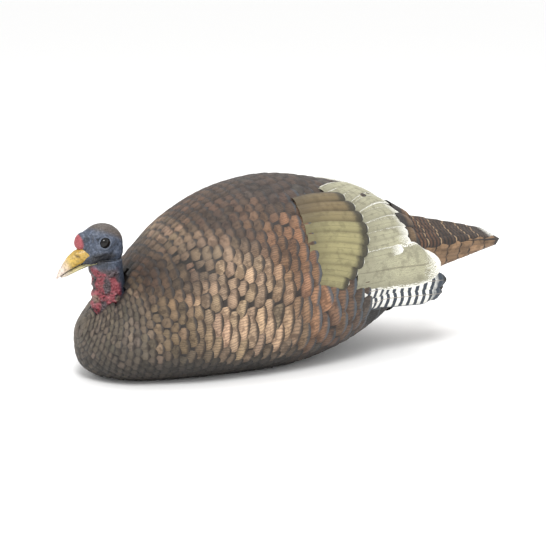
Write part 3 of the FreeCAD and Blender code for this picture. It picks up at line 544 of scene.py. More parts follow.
# %% Tints of the contour feathers
dither = chance.normal(0, 1, (count, 3))
breast, mantle, bronze = linear("#75695b"), linear("#5b4535"), linear("#c3a688")
orange, slate, shade_black = linear("#8f694c"), linear("#4a545c"), linear("#16120f")
back, rump, umber = linear("#4a382c"), linear("#8a6b4c"), linear("#241a13")
on_side = step(x + 0.35 * (z - 110), -205, -150) * step(168 - 0.30 * (x + 150) - z, -22, 20)
behind = step(x + 0.35 * (z - 110), -100, -45) * step(left, 35, 70) * step(x, 110, 60)
low = step(z, 60, 20)
soft = np.exp(-(((x + 180) / 34) ** 2 + ((z - 140) / 26) ** 2))
tint = np.tile(breast, (count, 1))
for tone, share in (
    (linear("#8a7357"), step(x, -245, -200) * step(z, 30, 60)),
    (mantle, step(z, 92, 128) * step(x, -245, -215)),
    (bronze, on_side * step(z, 25, 50)),
    (orange, behind * 0.9),
    (back, step(z, 192, 210) * step(x, -120, -60)),
    (rump, step(x, 108, 135)),
    (linear("#3a302b"), step(x, -30, 40) * step(crease(x) - z, -6, 10) * 0.7),
    # painted shade: near black low on the body towards the floor, and under the overhanging wing tips
    (shade_black, low * (0.65 + 0.2 * step(x, -260, -180))),
    (shade_black, step(x, 50, 75) * step(z, 105, 80) * 0.95),
    (linear("#32241a"), soft * 0.8),
):
    tint = mix(tint, tone, share)
dull = (chance.random(count) < 0.14) * step(x, -110, -60) * (x < 90)
tint = mix(tint, linear("#565048"), dull * 0.7)
tint = tint * PAINT_DEPTH * np.exp(dither[:, :1] * 0.20 + dither * 0.02)
crossing = step(x, -70, -20) * step(left, 45, 75) + chance.random(count) * 0.2
crossing = np.clip(crossing, 0, 1) * (x < 90)
rim = mix(np.tile(umber, (count, 1)), slate * 0.85, crossing * 0.85)
# painted shade: rims turn near black low on the body
rim = mix(rim, linear("#120e0b"), low)

print("mean tint:", tint.mean(0).round(3))

# %% Laying the contour feathers
pitch = row_pitch(sites[:, 0])
width = feather_width(x, z, left)
droop = 0.30 * step(left, 40, 95) * step(sites[:, 0], 0.12, 0.22) * np.where(y < 0, -1, 1)
girth = bare.girth(*sites.T)
tips = sites + np.stack([pitch * 1.46, droop * pitch / girth], 1)
drift = np.array([noise.noise(Vector((a * 14, b * 0.045, 3))) for a, b in sites])
tips[:, 0] += (chance.normal(0, 0.07, count) + drift * 0.35) * pitch
tips[:, 1] += (chance.normal(0, 0.08, count) + drift * 0.3) * width / girth
roots = sites - np.stack([pitch * (1.05 - drift * 0.35), -droop * pitch / girth * 0.4], 1)
roots[:, 0] = np.maximum(roots[:, 0], 0.8 * MM)
widths = width * (1.42 + chance.normal(0, 0.07, count))
relief = ramp(sites[:, 0], [0, 0.08, 0.2, 0.5], [0.5, 0.7, 1.15, 1.1]) * (1 - 0.65 * soft)
relief = relief * (1 - 0.45 * step(z, 150, 190) * step(-x, 20, 80))
over_fold = step(z - crease(x), -4, 4) * step(crease(x) + 26 - z, 0, 20)
over_fold = over_fold * step(x, -215, -165) * step(left, 50, 70)
folds = np.max([bare.ridge(*ends.T) for ends in (roots, sites, tips)], axis=0)
lifts = (0.3 + 1.6 * over_fold) * MM + folds
# contour feathers: matt dry-brushed acrylic, with painted shade where the row in front covers them
contour_paint = feather_paint("acrylic_over_moulded_contour_feathers", barbs=6.5, slant=1.0, stroke=1.0,
                              mottle=0.6, covered=0.40, rim_width=0.22, shaft=0.0, dark_edge=0.8)
# the first row has no row in front, so its roots get none of the painted shade of a covered root
pole_paint = feather_paint("acrylic_over_breast_point_feathers", barbs=5.5, slant=1.0, stroke=0.7,
                           mottle=0.25, rim_width=0.15, shaft=0.0)
first = np.flatnonzero(sites[:, 0] < 0.012)
parts = [first, *np.array_split(np.arange(len(first), count), 3)]
for number, part in enumerate(parts, start=1):
    high = relief[part][:, None, None]
    tract = feather_tract(f"contour_feathers_{number}", bare, roots[part], tips[part], widths[part],
                          tint[part], rim[part], lifts[part], blunt=0.66, root=0.92, square=2.6,
                          crown=2.3 * MM * high, tip_lift=3.2 * MM * high)
    tract.data.materials.append(pole_paint if number == 1 else contour_paint)
    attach(tract, "body")

# %% [markdown]
# ## The folded wings
# A folded wing shows its feathers in tiers: green-gold coverts in front, white-edged secondaries
# behind them, two tertials over the wing's tip, and the barred primaries below. Rows by rule would
# look mechanical here, because each of these feathers has its own length. So they are set one by one,
# from root to tip, as a carver would lay them out on one side and copy them on the other.

# %% Wings
def side_place(x_mm, z_mm):
    """A place on the left wing, given along the body and up, in millimetres."""
    s = x_mm * MM - CAP_X + CAP
    return s, winged.angle_at(s, z_mm * MM)


def wing_tier(name, feathers, material, tints, rims, **shape):
    """Lays a tier on both wings. Each feather is root x, z, tip x, z, width and lift, in mm."""
    roots = [side_place(f[0], f[1]) for f in feathers]
    tips = [side_place(f[2], f[3]) for f in feathers]
    widths, lifts = [np.array([f[k] for f in feathers]) * MM for k in (4, 5)]
    for side, mirrored in (("left", False), ("right", True)):
        shades = np.exp(chance.normal(0, 0.08, (len(feathers), 1)))
        tract = feather_tract(f"{name}_{side}", winged, roots, tips, widths, tints * shades, rims, lifts,
                              sides=13, steps=25, mirrored=mirrored, **shape)
        tract.data.materials.append(material)
        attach(tract, "body")


slate_blue, bone = linear("#313a45"), linear("#e2e2dc")
gold, olive, drab = linear("#b6ae7c"), linear("#89835f"), linear("#86744f")
pale_olive = linear("#9a9880")
# coverts: green gold with a satin gleam, a dark line and a pale hair line at the tip
covert_paint = feather_paint("green_gold_acrylic_on_coverts", barbs=9.0, slant=0.8, stroke=0.45,
                             mottle=0.25, rim_width=0.22, rim_share=0.95, shaft=0.35, tip_line=0.018,
                             dark_edge=0.6, roughness=0.5)
# secondaries: grey olive with chalky white edges that break up along the barbs
edged_paint = feather_paint("white_edged_secondaries", barbs=16.0, slant=0.45, stroke=0.6, mottle=0.35,
                            rim_width=0.1, rim_share=0.5, white_edge=0.42, dark_edge=0.4)
# tertials: the same, with a finer edge and a drawn shaft
tertial_paint = feather_paint("white_edged_tertials", barbs=18.0, slant=0.6, stroke=0.55, mottle=0.3,
                              rim_width=0.08, rim_share=0.4, white_edge=0.32, shaft=0.5, dark_edge=0.3)
# primaries: bone white with slate bars across, crisp and matt
barred_paint = feather_paint("barred_primaries", barbs=20.0, slant=0.5, stroke=0.3, mottle=0.1,
                             rim_share=0.95, bars=13.0, bar_colour="#2b333d", shaft=0.9, dark_edge=0.2)
print("four wing paints")

# %% Feathers of the wings
covert_tips = [(50, 204), (58, 194), (63, 183), (65, 171), (63, 159), (58, 147), (50, 135), (39, 123),
               (26, 112)]
fall = np.linspace(0.05, 0.20, len(covert_tips))
COVERT_ROOT = -26
coverts = [(COVERT_ROOT, tip_z + slope * (tip_x - COVERT_ROOT), tip_x, tip_z, 19, 1.9 + 0.32 * above)
           for (tip_x, tip_z), slope, above in zip(covert_tips, fall, range(8, -1, -1))]
covert_tints = PAINT_DEPTH * ramp(np.linspace(0, 1, len(coverts)), [0, 0.2, 0.35, 0.6, 1],
                                  [drab, drab * 1.15, gold * 0.92, gold, gold * 0.95])
secondaries = [
    (24, 214, 108, 207, 17, 4.6), (32, 207, 122, 199, 18, 4.3), (42, 199, 134, 191, 18, 4.0),
    (50, 190, 142, 182, 18, 3.8), (52, 180, 145, 173, 18, 3.6), (54, 170, 145, 164, 17, 3.4),
    (54, 160, 142, 155, 17, 3.2), (52, 149, 137, 148, 17, 3.1), (44, 138, 118, 140, 18, 3.6),
    (36, 127, 100, 131, 18, 3.4),
]
# a lower, shorter feather under each pair closes the gap between their tips
fillers = [tuple((np.array(a) + np.array(b)) / 2 - [0, 0, 1, 0, 0, 0.9])
           for a, b in zip(secondaries, secondaries[1:])]
tertials = [(40, 122, 178, 119, 56, 3.4), (32, 106, 170, 109, 22, 2.8)]
primaries = [(36, 96, 184, 96, 27, 2.0), (40, 78, 180, 80, 25, 1.4)]
wing_tier("primaries", primaries, barred_paint, bone, slate_blue,
          blunt=0.78, root=0.9, crown=1.8 * MM, tip_lift=1.6 * MM)
wing_tier("tertials", tertials, tertial_paint, np.array([pale_olive, pale_olive * 0.85]), olive * 0.5,
          blunt=0.6, root=0.5, crown=2.0 * MM, tip_lift=2.2 * MM)
wing_tier("secondaries", secondaries + fillers, edged_paint, pale_olive, olive * 0.5,
          blunt=0.88, root=0.8, square=3.0, crown=1.3 * MM, tip_lift=1.4 * MM)
wing_tier("coverts", coverts, covert_paint, covert_tints, linear("#2b2616"),
          blunt=0.86, root=0.8, square=3.0, crown=2.2 * MM, tip_lift=3.8 * MM)

# %% [markdown]
# ## The tail
# The tail moulding has a roofed top. Its long feathers run out to a pale frayed edge, and shorter
# rows lie over their roots, each barred and tipped with buff; the sides are plain streaked brown. The
# rows are even on the real moulding too, so a rule lays them, with a little unevenness by chance.

# %% Tail
def tail_row(name, tip_s, length, low, high, number, width, material, tints, rim, lift, **shape):
    angles = np.linspace(low, high, number) + chance.normal(0, 0.6, number)
    jitter = chance.normal(0, 1.2 * MM, number)
    tips = np.stack([tip_s + jitter, angles], 1)
    roots = np.stack([tip_s + jitter - length, 90 + (angles - 90) * 0.97], 1)
    shades = np.exp(chance.normal(0, 0.12, (number, 1)))
    tract = feather_tract(name, tail_skin, roots, tips, width, tints * shades, rim, lift, **shape)
    tract.data.materials.append(material)
    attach(tract, "tail")


FROM_TIP = [0.137, 0.118, 0.098, 0.078, 0.058, 0.038, 0.018]
bark, chestnut, fawn = linear("#3b2b20"), linear("#75523a"), linear("#927456")
# long feathers: dark brown, finely barred, frayed white at the end
tail_paint = feather_paint("barred_tail_feathers", barbs=14.0, slant=0.6, stroke=0.5, rim_width=0.1,
                           bars=22.0, bar_colour="#191410", shaft=0.8, white_edge=0.2)
# their coverts: coarser bars and a buff band on each tip
tail_covert_paint = feather_paint("buff_tipped_tail_coverts", barbs=10.0, slant=0.7, stroke=0.5,
                                  rim_width=0.14, bars=7.0, bar_colour="#1c1612", tip_band=0.10)
# sides: plain fawn with broad streaks, the most matt of the three
streak_paint = feather_paint("streaked_tail_sides", barbs=7.0, slant=1.0, stroke=0.9, rim_width=0.14,
                             shaft=0.3)
tail_row("tail_feathers", 0.1385, 0.100, 16, 164, 15, 15 * MM, tail_paint, bark, linear("#17110d"),
         0.3 * MM, blunt=0.9, root=0.8, crown=1.0 * MM, tip_lift=1.2 * MM, steps=17)
tail_layers = [(0.112, 15, bark), (0.092, 15, bark * 1.1), (0.070, 14, bark * 1.2),
               (0.047, 13, chestnut * 0.45), (0.026, 12, chestnut * 0.55)]
for index, (tip_s, number, tone) in enumerate(tail_layers):
    tail_row(f"tail_coverts_{index + 1}", tip_s, 0.040, 18, 162, number, 15 * MM, tail_covert_paint,
             tone, linear("#1b1410"), (0.9 + 0.5 * index) * MM, blunt=0.6, crown=1.1 * MM,
             tip_lift=1.5 * MM)
for side, low, high, number, tone in (("left", -52, 8, 5, 0.68), ("right", 172, 232, 5, 0.68),
                                      ("under", 238, 302, 6, 0.4)):
    for index, tip_s in enumerate(FROM_TIP):
        tail_row(f"tail_{side}_{index + 1}", tip_s, 0.036, low, high, number, 16 * MM, streak_paint,
                 fawn * tone, linear("#2a1f17"), (0.3 + 0.3 * index) * MM, blunt=0.7, crown=1.0 * MM,
                 tip_lift=1.0 * MM, steps=7)

# %% [markdown]
# ## The head
# The head is sculpted like a master for a mould. Lumps of clay are pressed together: neck, skull, jaw,
# brows, eyelids, snood, wattle folds and some two hundred caruncles. A voxel remesh welds them into
# one skin, a light smoothing rounds the joins, and fine noise wrinkles it. Subdividing a cage would
# give the skull, but not lumps that run into each other. The two halves of the beak are smooth horn,
# so they are lofted from rings.

# %% Head form
EYE = Vector((-254, 17.3, 172)) * MM
EYE_OPENING = 6.1 * MM
CARUNCLES = 240
hands = np.random.default_rng(11)  # presses the caruncles on


def neck_middle(z):
    return ramp(z, [105, 150], [-241, -246])


def neck_radius(z):
    return ramp(z, [40, 76, 88, 104, 118, 134, 150], [23.5, 23.5, 22.4, 20.4, 19.0, 18.6, 19.2])


def lump(clay, centre, radii, turn=(0, 0, 0), detail=2):
    """Presses an ellipsoid of clay on; centre and radii are in millimetres, turns in degrees."""
    turned = Euler([math.radians(a) for a in turn])
    place = Matrix.LocRotScale(Vector(centre) * MM, turned, Vector(radii) * MM)
    bmesh.ops.create_icosphere(clay, subdivisions=detail, radius=1, matrix=place)


def ring_solid(clay, rings):
    """A closed form through rings of points, all with the same number of points."""
    made = [[clay.verts.new(p) for p in ring] for ring in rings]
    for a, b in zip(made, made[1:]):
        for i in range(len(a)):
            k = (i + 1) % len(a)
            clay.faces.new((a[i], a[k], b[k], b[i]))
    clay.faces.new(made[0][::-1])
    clay.faces.new(made[-1])


def neck_form(clay):
    rings = []
    for z in np.arange(44, 152, 4.0):
        radius = neck_radius(z)
        rings.append([Vector((neck_middle(z) + radius * math.cos(a), radius * math.sin(a), z)) * MM
                      for a in np.linspace(0, 2 * math.pi, 48, endpoint=False)])
    ring_solid(clay, rings)


def head_clay():
    clay = bmesh.new()
    neck_form(clay)
    # skull, brow, back of the head, jaw, throat and snood
    for centre, radii, tilt, detail in (
        ((-252, 0, 168), (27.5, 18.3, 25.2), 0, 4),
        ((-264, 0, 172), (17, 12.5, 16), 20, 3),
        ((-241, 0, 161), (16.5, 16.5, 21), 0, 3),
        ((-262, 0, 153), (19, 13.5, 10), -14, 3),
        ((-256, 0, 139), (13, 13, 14), 0, 3),
        ((-277.5, 0, 173.5), (8.6, 9.0, 11.2), 24, 3),
    ):
        lump(clay, centre, radii, (0, tilt, 0), detail)
    # brow ridge, cheek and a ring of lid on each side
    for side in (-1, 1):
        lump(clay, (-257, side * 15.4, 180.5), (9.5, 3.2, 2.6), (0, -10, -side * 8))
        lump(clay, (-257, side * 13.2, 159), (11, 4.4, 4), (0, -16, 0))
        for turn in np.linspace(0, 2 * math.pi, 26, endpoint=False):
            lid = (-254 + 7.5 * math.cos(turn), side * 17.4, 172 + 7.2 * math.sin(turn))
            lump(clay, lid, (1.5, 1.9, 1.5), detail=1)
    # wattle folds down the front, and the bulge at the foot of the neck
    for z, out, across, tall in ((131, 0, 8, 6), (119, 1.5, 9, 6), (106, 2.5, 9, 7), (93, 2, 10, 6),
                                 (82, 2.5, 10, 5.5), (74, 1.5, 10, 5.5)):
        fold = (neck_middle(z) - neck_radius(z) + 4 - out, 0, z)
        lump(clay, fold, (6.5, across, tall), (0, 15, 0), detail=3)
    # caruncles, thickest in front
    for _ in range(CARUNCLES):
        z = hands.uniform(72, 137)
        turn = hands.normal(0, 55)
        if abs(turn) > 125:
            continue
        a = math.radians(turn)
        radius = neck_radius(z) + hands.uniform(-1.4, 0.2)
        centre = (neck_middle(z) - radius * math.cos(a), radius * math.sin(a), z)
        size = hands.uniform(1.8, 3.4)
        radii = (size, size * hands.uniform(1.0, 1.7), size * 0.85)
        lump(clay, centre, radii, (hands.uniform(-35, 35), 0, -turn), detail=1)
    return clay


def welded(clay, name, voxel, rounds):
    """The clay as one skin: remeshed, smoothed, and with its modifiers applied."""
    rough = bpy.data.meshes.new(name + "_clay")
    clay.to_mesh(rough)
    clay.free()
    holder = bpy.data.objects.new(name + "_clay", rough)
    scene.collection.objects.link(holder)
    weld = holder.modifiers.new("weld", "REMESH")
    weld.mode = "VOXEL"
    weld.voxel_size = voxel
    smooth = holder.modifiers.new("smooth", "SMOOTH")
    smooth.iterations = rounds
    smooth.factor = 0.5
    bpy.context.view_layer.update()
    finished = holder.evaluated_get(bpy.context.evaluated_depsgraph_get())
    mesh = bpy.data.meshes.new_from_object(finished)
    bpy.data.objects.remove(holder)
    mesh.name = name
    return mesh


print("the eye opens", round(2 * EYE_OPENING / MM, 1), "mm wide")

# %% Reading and colouring a sculpted form
def vectors(mesh, kind="co"):
    """A mesh's points, or its normals, as rows of numbers."""
    found = np.empty(len(mesh.vertices) * 3)
    mesh.vertices.foreach_get(kind, found)
    return found.reshape(-1, 3)


def noise_at(points, size_mm, seed=0.0):
    """Smooth noise, about -1 to 1, with lumps of a real size."""
    scaled = points * (1000 / size_mm)
    return np.array([noise.noise(Vector((p[0] + seed, p[1], p[2]))) for p in scaled]) * 1.6


def hollows(mesh, points, rounds):
    """How far each point lies under its surroundings along the normal, in metres."""
    edges = np.empty(len(mesh.edges) * 2, int)
    mesh.edges.foreach_get("vertices", edges)
    a, b = edges.reshape(-1, 2).T
    ways = np.bincount(np.concatenate([a, b]), minlength=len(points))[:, None]
    around = points.copy()
    for _ in range(rounds):
        total = np.zeros_like(around)
        np.add.at(total, a, around[b])
        np.add.at(total, b, around[a])
        around = total / ways
    return ((around - points) * vectors(mesh, "normal")).sum(1)


def tint_of(mesh, colours):
    full = np.ones((len(colours), 4))
    full[:, :3] = np.clip(colours, 0, 1)
    layer = mesh.attributes.new("tint", "FLOAT_COLOR", "POINT")
    layer.data.foreach_set("color", full.ravel())


def head_piece(mesh, name, material, *nodes):
    made = bpy.data.objects.new(name, mesh)
    scene.collection.objects.link(made)
    for face in mesh.polygons:
        face.use_smooth = True
    mesh.materials.append(material)
    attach(made, "head")
    if nodes:
        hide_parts(*nodes)
    print(name, len(mesh.polygons), "faces")


# %% Head skin
def sculpted_skin():
    mesh = welded(head_clay(), "head_skin", 0.7 * MM, 3)
    points = vectors(mesh)
    x, y, z = points.T / MM
    side = np.abs(y)
    # the eye's socket: a shallow seat behind the glass eye, inside the lids
    from_eye = np.hypot(points[:, 0] - EYE.x, points[:, 2] - EYE.z)
    in_socket = (from_eye < EYE_OPENING) & (side > 8)
    points[in_socket, 1] = np.sign(y[in_socket]) * np.minimum(side[in_socket], 16.2) * MM
    normals = vectors(mesh, "normal")
    front = step(-(x - neck_middle(z)), -12, 6)
    fleshy = step(z, 70, 80) * step(z, 142, 132) * front
    wrinkle = noise_at(points * [1, 1, 2.2], 5) * 0.45 + noise_at(points * [1, 1, 1.6], 2.4, 9) * 0.3
    calm = noise_at(points, 3.5, 4) * 0.16 + noise_at(points, 1.6, 5) * 0.08
    well = step(z, 62, 68)
    snood = np.exp(-(((x + 282) / 10) ** 2 + (y / 9.6) ** 2 + ((z - 172) / 10.4) ** 2) ** 3)
    rise = (wrinkle * fleshy + calm * (1 - fleshy)) * well * ~in_socket
    points = points + normals * (rise * MM)[:, None]
    mesh.vertices.foreach_set("co", points.ravel())
    mesh.update()
    cup = hollows(mesh, points, 10) / MM

    blotch = noise_at(points, 9, 2)
    fine = noise_at(points, 3.2, 7)
    from_middle = x - neck_middle(z)
    # wattle skin: dull red, in places pink, ashen or tan
    meat = np.tile(linear("#8f3540"), (len(points), 1))
    meat = mix(meat, linear("#b4636a"), step(blotch + 0.5 * fine, -0.1, 0.9))
    meat = mix(meat, linear("#414044"), step(noise_at(points * [1, 1, 0.7], 11, 21), -0.15, 0.3) * 0.9)
    meat = meat * 0.7
    sallow = step(noise_at(points, 12, 31), 0.25, 0.7) * step(z, 125, 105)
    meat = mix(meat, linear("#7d6a5a"), sallow * 0.7)
    # over blue skin: pale and dusky blotches, brown crown, dark gape and chin, nape, wattle, snood,
    # lids, eye socket, and the foot of the neck
    crown = step(z + 0.45 * (x + 253) - 0.25 * side, 176, 186)
    gape = np.exp(-(((x + 255) / 15) ** 2 + ((z - 155) / 5.5) ** 2) ** 2) * step(side, 6, 12)
    under = np.exp(-(((x + 262) / 16) ** 2 + ((z - 149) / 6) ** 2) ** 1.5)
    red = step(z, 66, 72) * step(z + 0.2 * side, 146, 138) * step(-from_middle, -11, -2)
    lid = step(from_eye, 9.2 * MM, 8.2 * MM) * step(from_eye, 5.5 * MM, 6.2 * MM) * (side > 12)
    colour = np.tile(linear("#3d4656"), (len(points), 1))
    for tone, share in (
        (linear("#687184"), step(fine + blotch * 0.6, 0.1, 1.0) * 0.6),
        (linear("#1b1e25"), step(-fine - blotch, 0.2, 1.1) * 0.55),
        (linear("#4d433b"), crown * 0.92),
        (linear("#14141a"), np.clip(gape + under, 0, 1) * 0.92),
        (linear("#333b49"), step(from_middle, 0, 12) * step(z, 156, 140) * 0.85),
        (meat, red),
        (linear("#9c4a50"), step(snood, 0.25, 0.6)),
        (linear("#59616f"), lid * 0.5),
        (linear("#0d0d10"), step(from_eye, 7.0 * MM, 6.2 * MM) * (side > 12)),
        (linear("#2a231e"), step(z, 72, 64)),
    ):
        colour = mix(colour, tone, share)
    # painted shade in the hollows and a painted highlight on the lumps
    colour = colour * (1 - 0.75 * step(cup, 0.05, 0.55))[:, None]
    colour = mix(colour, colour * 1.5 + 0.03, step(-cup, 0.1, 0.6) * 0.5)
    tint_of(mesh, colour)
    return mesh


# %% Beak
def mandible(name, roof, floor, halves, hook=0.0):
    """A half of the beak between two lines in the middle plane, each x and z in millimetres."""
    clay = bmesh.new()
    knots = np.linspace(0, 1, len(roof))
    shape = []
    for share in np.linspace(0, 1, 56):
        top = Vector([np.interp(share, knots, [p[k] for p in roof]) for k in (0, 1)])
        low = Vector([np.interp(share, knots, [p[k] for p in floor]) for k in (0, 1)])
        half = np.interp(share, knots, halves)
        middle, arm = (top + low) / 2, (top - low) / 2
        ring = []
        for a in np.linspace(0, 2 * math.pi, 40, endpoint=False):
            lift = math.sin(a)
            across = math.copysign(abs(math.cos(a)) ** 0.75, math.cos(a))
            across = across * half * (1 - 0.18 * max(lift, 0) * hook)
            centre = middle + arm * lift
            ring.append(Vector((centre.x, across, centre.y)) * MM)
        shape.append(ring)
    ring_solid(clay, shape)
    bmesh.ops.recalc_face_normals(clay, faces=clay.faces[:])
    for _ in range(3):
        bmesh.ops.smooth_vert(clay, verts=clay.verts[:], factor=0.5, use_axis_x=True, use_axis_y=True,
                              use_axis_z=True)
    mesh = bpy.data.meshes.new(name)
    clay.to_mesh(mesh)
    clay.free()
    return mesh


def upper_beak():
    roof = [(-264, 167), (-277, 166), (-287, 162.5), (-295, 156.5), (-302, 148), (-308, 139),
            (-311.5, 131)]
    floor = [(-259, 150.5), (-272, 148.5), (-283, 144.8), (-292, 141), (-300, 137), (-307, 132.5),
             (-310.5, 129.5)]
    mesh = mandible("upper_beak", roof, floor, [12.0, 9.6, 8.2, 6.9, 5.3, 3.4, 1.0], hook=1.0)
    points = vectors(mesh)
    x, y, z = points.T / MM
    slant = (z - 156.5) + 0.45 * (x + 285.5)
    nostril = np.exp(-(((x + 285.5) / 3.6) ** 2 + (slant / 1.3) ** 2) ** 1.5) * (np.abs(y) > 3)
    points[:, 1] -= np.sign(y) * nostril * 1.6 * MM
    flap = np.exp(-(((x + 285.5) / 5.5) ** 2 + ((slant - 2.2) / 1.8) ** 2))
    points[:, 1] += np.sign(y) * flap * 0.5 * MM
    points += noise_at(points, 4, 3)[:, None] * [0, 0.12 * MM, 0.12 * MM]
    mesh.vertices.foreach_set("co", points.ravel())
    mesh.update()
    grime = noise_at(points, 5, 12)
    colour = ramp(x + 0.35 * (z - 145) + grime * 1.5, [-305, -292, -280],
                  [linear("#dccabc"), linear("#c4a44e"), linear("#b8953f")])
    colour = mix(colour, linear("#6d6a45"), step(grime, 0.2, 0.9) * 0.4)
    colour = mix(colour, linear("#2b2418"), nostril * 0.95)
    bite = np.interp(-x, [-place[0] for place in floor], [place[1] for place in floor])
    colour = mix(colour, linear("#2b2620"), step(z - bite, 1.4, 0.3) * 0.8)
    tint_of(mesh, colour)
    return mesh


def lower_beak():
    roof = [(-260, 149.4), (-272, 147.4), (-283, 143.7), (-292, 139.9), (-300, 135.9), (-306, 132.6)]
    floor = [(-262, 143.5), (-272, 141.8), (-283, 138.2), (-292, 134.6), (-299, 131.6), (-305, 130.6)]
    mesh = mandible("lower_beak", roof, floor, [10.4, 8.4, 7.0, 5.6, 4.0, 1.2])
    points = vectors(mesh)
    x, y, z = points.T / MM
    grime = noise_at(points, 5, 14)
    colour = ramp(x + grime * 2, [-302, -290, -275], [linear("#cfc2b2"), linear("#b8ad7c"), linear("#8f8a62")])
    colour = mix(colour, linear("#4b4a44"), step(grime, 0.1, 0.9) * 0.5)
    tint_of(mesh, colour)
    return mesh


# %% Head paints
def head_paint(name, lump_mm, strength, roughness, coat=0.0):
    """Acrylic stippled over cast vinyl: the tint comes with the form, and the brush breaks it up."""
    made, shader, add, place = paint(name, IOR=1.5, Coat_Weight=coat)
    tint = add("Attribute", attribute_name="tint", out="Color")
    stipple = add("TexNoise", patches(lump_mm, place, 5.0))
    deep = add("Mix", {0: 1.0, 6: tint, 7: (0.5, 0.5, 0.52, 1)}, blend_type="MULTIPLY", **COLOURS)
    pale = add("Mix", {0: 0.10, 6: tint, 7: rgba("#c8c4c0")}, **COLOURS)
    coats = [(add("MapRange", stipple, 0.55, 0.35, 0.0, 0.8, **SMOOTH), deep),
             (add("MapRange", stipple, 0.55, 0.72, **SMOOTH), pale)]
    return lay(made, shader, add, tint, coats, **{
        "Roughness": add("MapRange", stipple, 0.3, 0.7, roughness + 0.1, roughness - 0.08, **SMOOTH),
        "Normal": add("Bump", {"Strength": strength, "Distance": 0.35 * MM, "Height": stipple}),
    })


# vinyl skin: matt, mottled by a stippling brush of about 1.6 mm
skin_paint = head_paint("stippled_acrylic_on_vinyl_skin", 1.6, 0.7, 0.5)
# horn: smoother, with a thin satin coat
horn = head_paint("satin_acrylic_on_beak", 2.5, 0.35, 0.42, coat=0.15)
head_piece(sculpted_skin(), "head_skin", skin_paint, "head_shell")
head_piece(upper_beak(), "upper_beak", horn)
head_piece(lower_beak(), "lower_beak", horn)

# %% [markdown]
# ## Finishes of the moulded and turned parts
# Each part of the frame that shows keeps its shape and gets the finish of what it is: blow-moulded
# polyethylene, glass-like acrylic eyes, zinc-plated screws, nylon, rubber and a beech dowel. None is
# one even colour in real life, so colour and gloss both wander over patches of a real size, with a
# finer grain of 0.8 mm in the bump.

# %% Part finishes
def speckled(name, base, other, size_mm, roughness, bump=0.15, **surface):
    """A finish whose colour and gloss vary over patches of a real size."""
    made, shader, add, place = paint(name, **surface)
    patch = add("TexNoise", patches(size_mm, place, 4.0))
    grain = add("TexNoise", patches(0.8, place, 2.0))
    coats = [(add("MapRange", patch, 0.35, 0.65, 0.0, 0.6, **SMOOTH), rgba(other))]
    return lay(made, shader, add, rgba(base), coats, **{
        "Roughness": add("MapRange", patch, 0.3, 0.7, roughness + 0.07, roughness - 0.07, **SMOOTH),
        "Normal": add("Bump", {"Strength": bump, "Distance": 0.1 * MM, "Height": grain}),
    })


def turned_wood():
    """Beech: fine straight grain along the dowel, pale with darker flecks."""
    made, shader, add, place = paint("beech_dowel", IOR=1.5)
    stretched = add("Mapping", {"Vector": place, "Scale": (1, 1, 0.06)})
    grain = add("TexNoise", patches(1.2, stretched, 4.0))
    return lay(made, shader, add, rgba("#d3a878"), [(grain, rgba("#a87b4e"))],
               Roughness=add("MapRange", grain, 0.3, 0.7, 0.5, 0.65, **SMOOTH))


# acrylic eyes: near black and glossy, so that they catch the key light
eye_glass = speckled("gloss_black_acrylic_eye", "#070606", "#120c09", 3, 0.14, bump=0.0, IOR=1.49,
                     Specular_IOR_Level=0.35)
# blow-moulded shells: soft and matt under a thin dark wash, umber on the tail and soot on the body
tail_moulding = speckled("umber_washed_blow_moulded_polyethylene", "#2b211a", "#191310", 14, 0.62, IOR=1.51)
body_moulding = speckled("soot_washed_blow_moulded_polyethylene", "#2b241f", "#1c1a19", 10, 0.6, IOR=1.51)
# nylon: black and satin in the fittings, waxy cream in the bearing
black_nylon = speckled("black_moulded_nylon", "#1b1c1e", "#242527", 6, 0.42, IOR=1.53)
pale_nylon = speckled("natural_nylon_bearing", "#d8d2c2", "#c9c2b0", 5, 0.38, IOR=1.53)
# zinc plate: bright grey with small dull patches
zinc = speckled("zinc_plated_steel", "#b9bdc2", "#9a9ea3", 1.5, 0.32, Metallic=1.0)
# rubbers: dusty black seals and a greyer, smoother silicone flap
rubber = speckled("black_nitrile_rubber", "#161616", "#202020", 3, 0.72, IOR=1.52)
silicone = speckled("grey_silicone_flap", "#8c8f91", "#7b7e80", 4, 0.5, IOR=1.41)
finishes = {
    body_moulding: "body_shell",
    tail_moulding: "tail_shell",
    black_nylon: "neck_collar rump_collar neck_plug stake_socket socket_nut valve_body valve_nut",
    pale_nylon: "swivel_bush",
    zinc: "swivel_clip collar_screws plug_screws",
    rubber: "friction_ring socket_gasket valve_gasket valve_plug",
    silicone: "valve_flap",
    turned_wood(): "neck_stiffener",
    eye_glass: "eye_left eye_right",
}
for finish, nodes in finishes.items():
    for node in nodes.split():
        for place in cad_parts[node].material_slots:
            place.material = finish
print(len(finishes), "finishes")

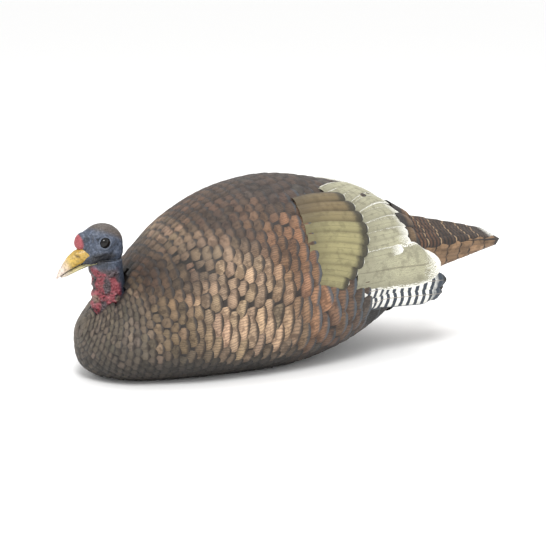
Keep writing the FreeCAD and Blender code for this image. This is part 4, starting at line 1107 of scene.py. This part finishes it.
# %% [markdown]
# ## Stage, light and camera
# A plain pale floor under a soft white room, with a key light from the decoy's front left, a weak
# fill behind and a wide one above. A backdrop with a curve would do as well, but a wide flat floor
# stays plain from every side.

# %% Stage
FLOOR = 60
LOOK_AT = Vector((0, 0, 0.1))
CAMERA_AWAY = 2.2


def studio():
    # paper: matt white that wanders a little over the metre
    ground_paint, shader, add, _ = paint("pale_studio_floor", Roughness=0.9)
    grain = add("TexNoise", {"Scale": 3.0, "Detail": 4.0, "Roughness": 0.55})
    lay(ground_paint, shader, add, rgba("#fbfbfa"), [(grain, rgba("#fefefe"))])
    bpy.ops.mesh.primitive_plane_add(size=FLOOR)
    ground = bpy.context.object
    ground.name = "floor"
    ground.data.materials.append(ground_paint)
    world = bpy.data.worlds.new("soft_white_room")
    scene.world = world
    world.use_nodes = True
    world.node_tree.nodes["Background"].inputs["Color"].default_value = (1, 1, 1, 1)
    world.node_tree.nodes["Background"].inputs["Strength"].default_value = 1.0
    for name, place, size, power in (
        ("key", (-0.7, -1.2, 1.7), 0.7, 24),
        ("fill", (1.6, -1.2, 0.9), 1.6, 5),
        ("top", (0.2, 0.4, 1.9), 1.2, 12),
    ):
        data = bpy.data.lights.new(name, "AREA")
        data.size = size
        data.energy = power
        lamp = bpy.data.objects.new(name, data)
        lamp.location = place
        lamp.rotation_mode = "QUATERNION"
        lamp.rotation_quaternion = (LOOK_AT - Vector(place)).to_track_quat("-Z", "Y")
        scene.collection.objects.link(lamp)
    camera = bpy.data.objects.new("camera", bpy.data.cameras.new("camera"))
    azimuth, elevation = math.radians(-28), math.radians(13)
    flat = math.cos(elevation)
    back = Vector((math.sin(azimuth) * flat, -math.cos(azimuth) * flat, math.sin(elevation)))
    camera.location = LOOK_AT + back * CAMERA_AWAY
    camera.rotation_mode = "QUATERNION"
    camera.rotation_quaternion = (-back).to_track_quat("-Z", "Y")
    camera.data.lens = 112.1
    camera.data.shift_x, camera.data.shift_y = -0.0201, 0.0055
    scene.collection.objects.link(camera)
    scene.camera = camera
    scene.view_settings.view_transform = "Standard"


studio()
print("camera at", tuple(round(v, 3) for v in scene.camera.location))
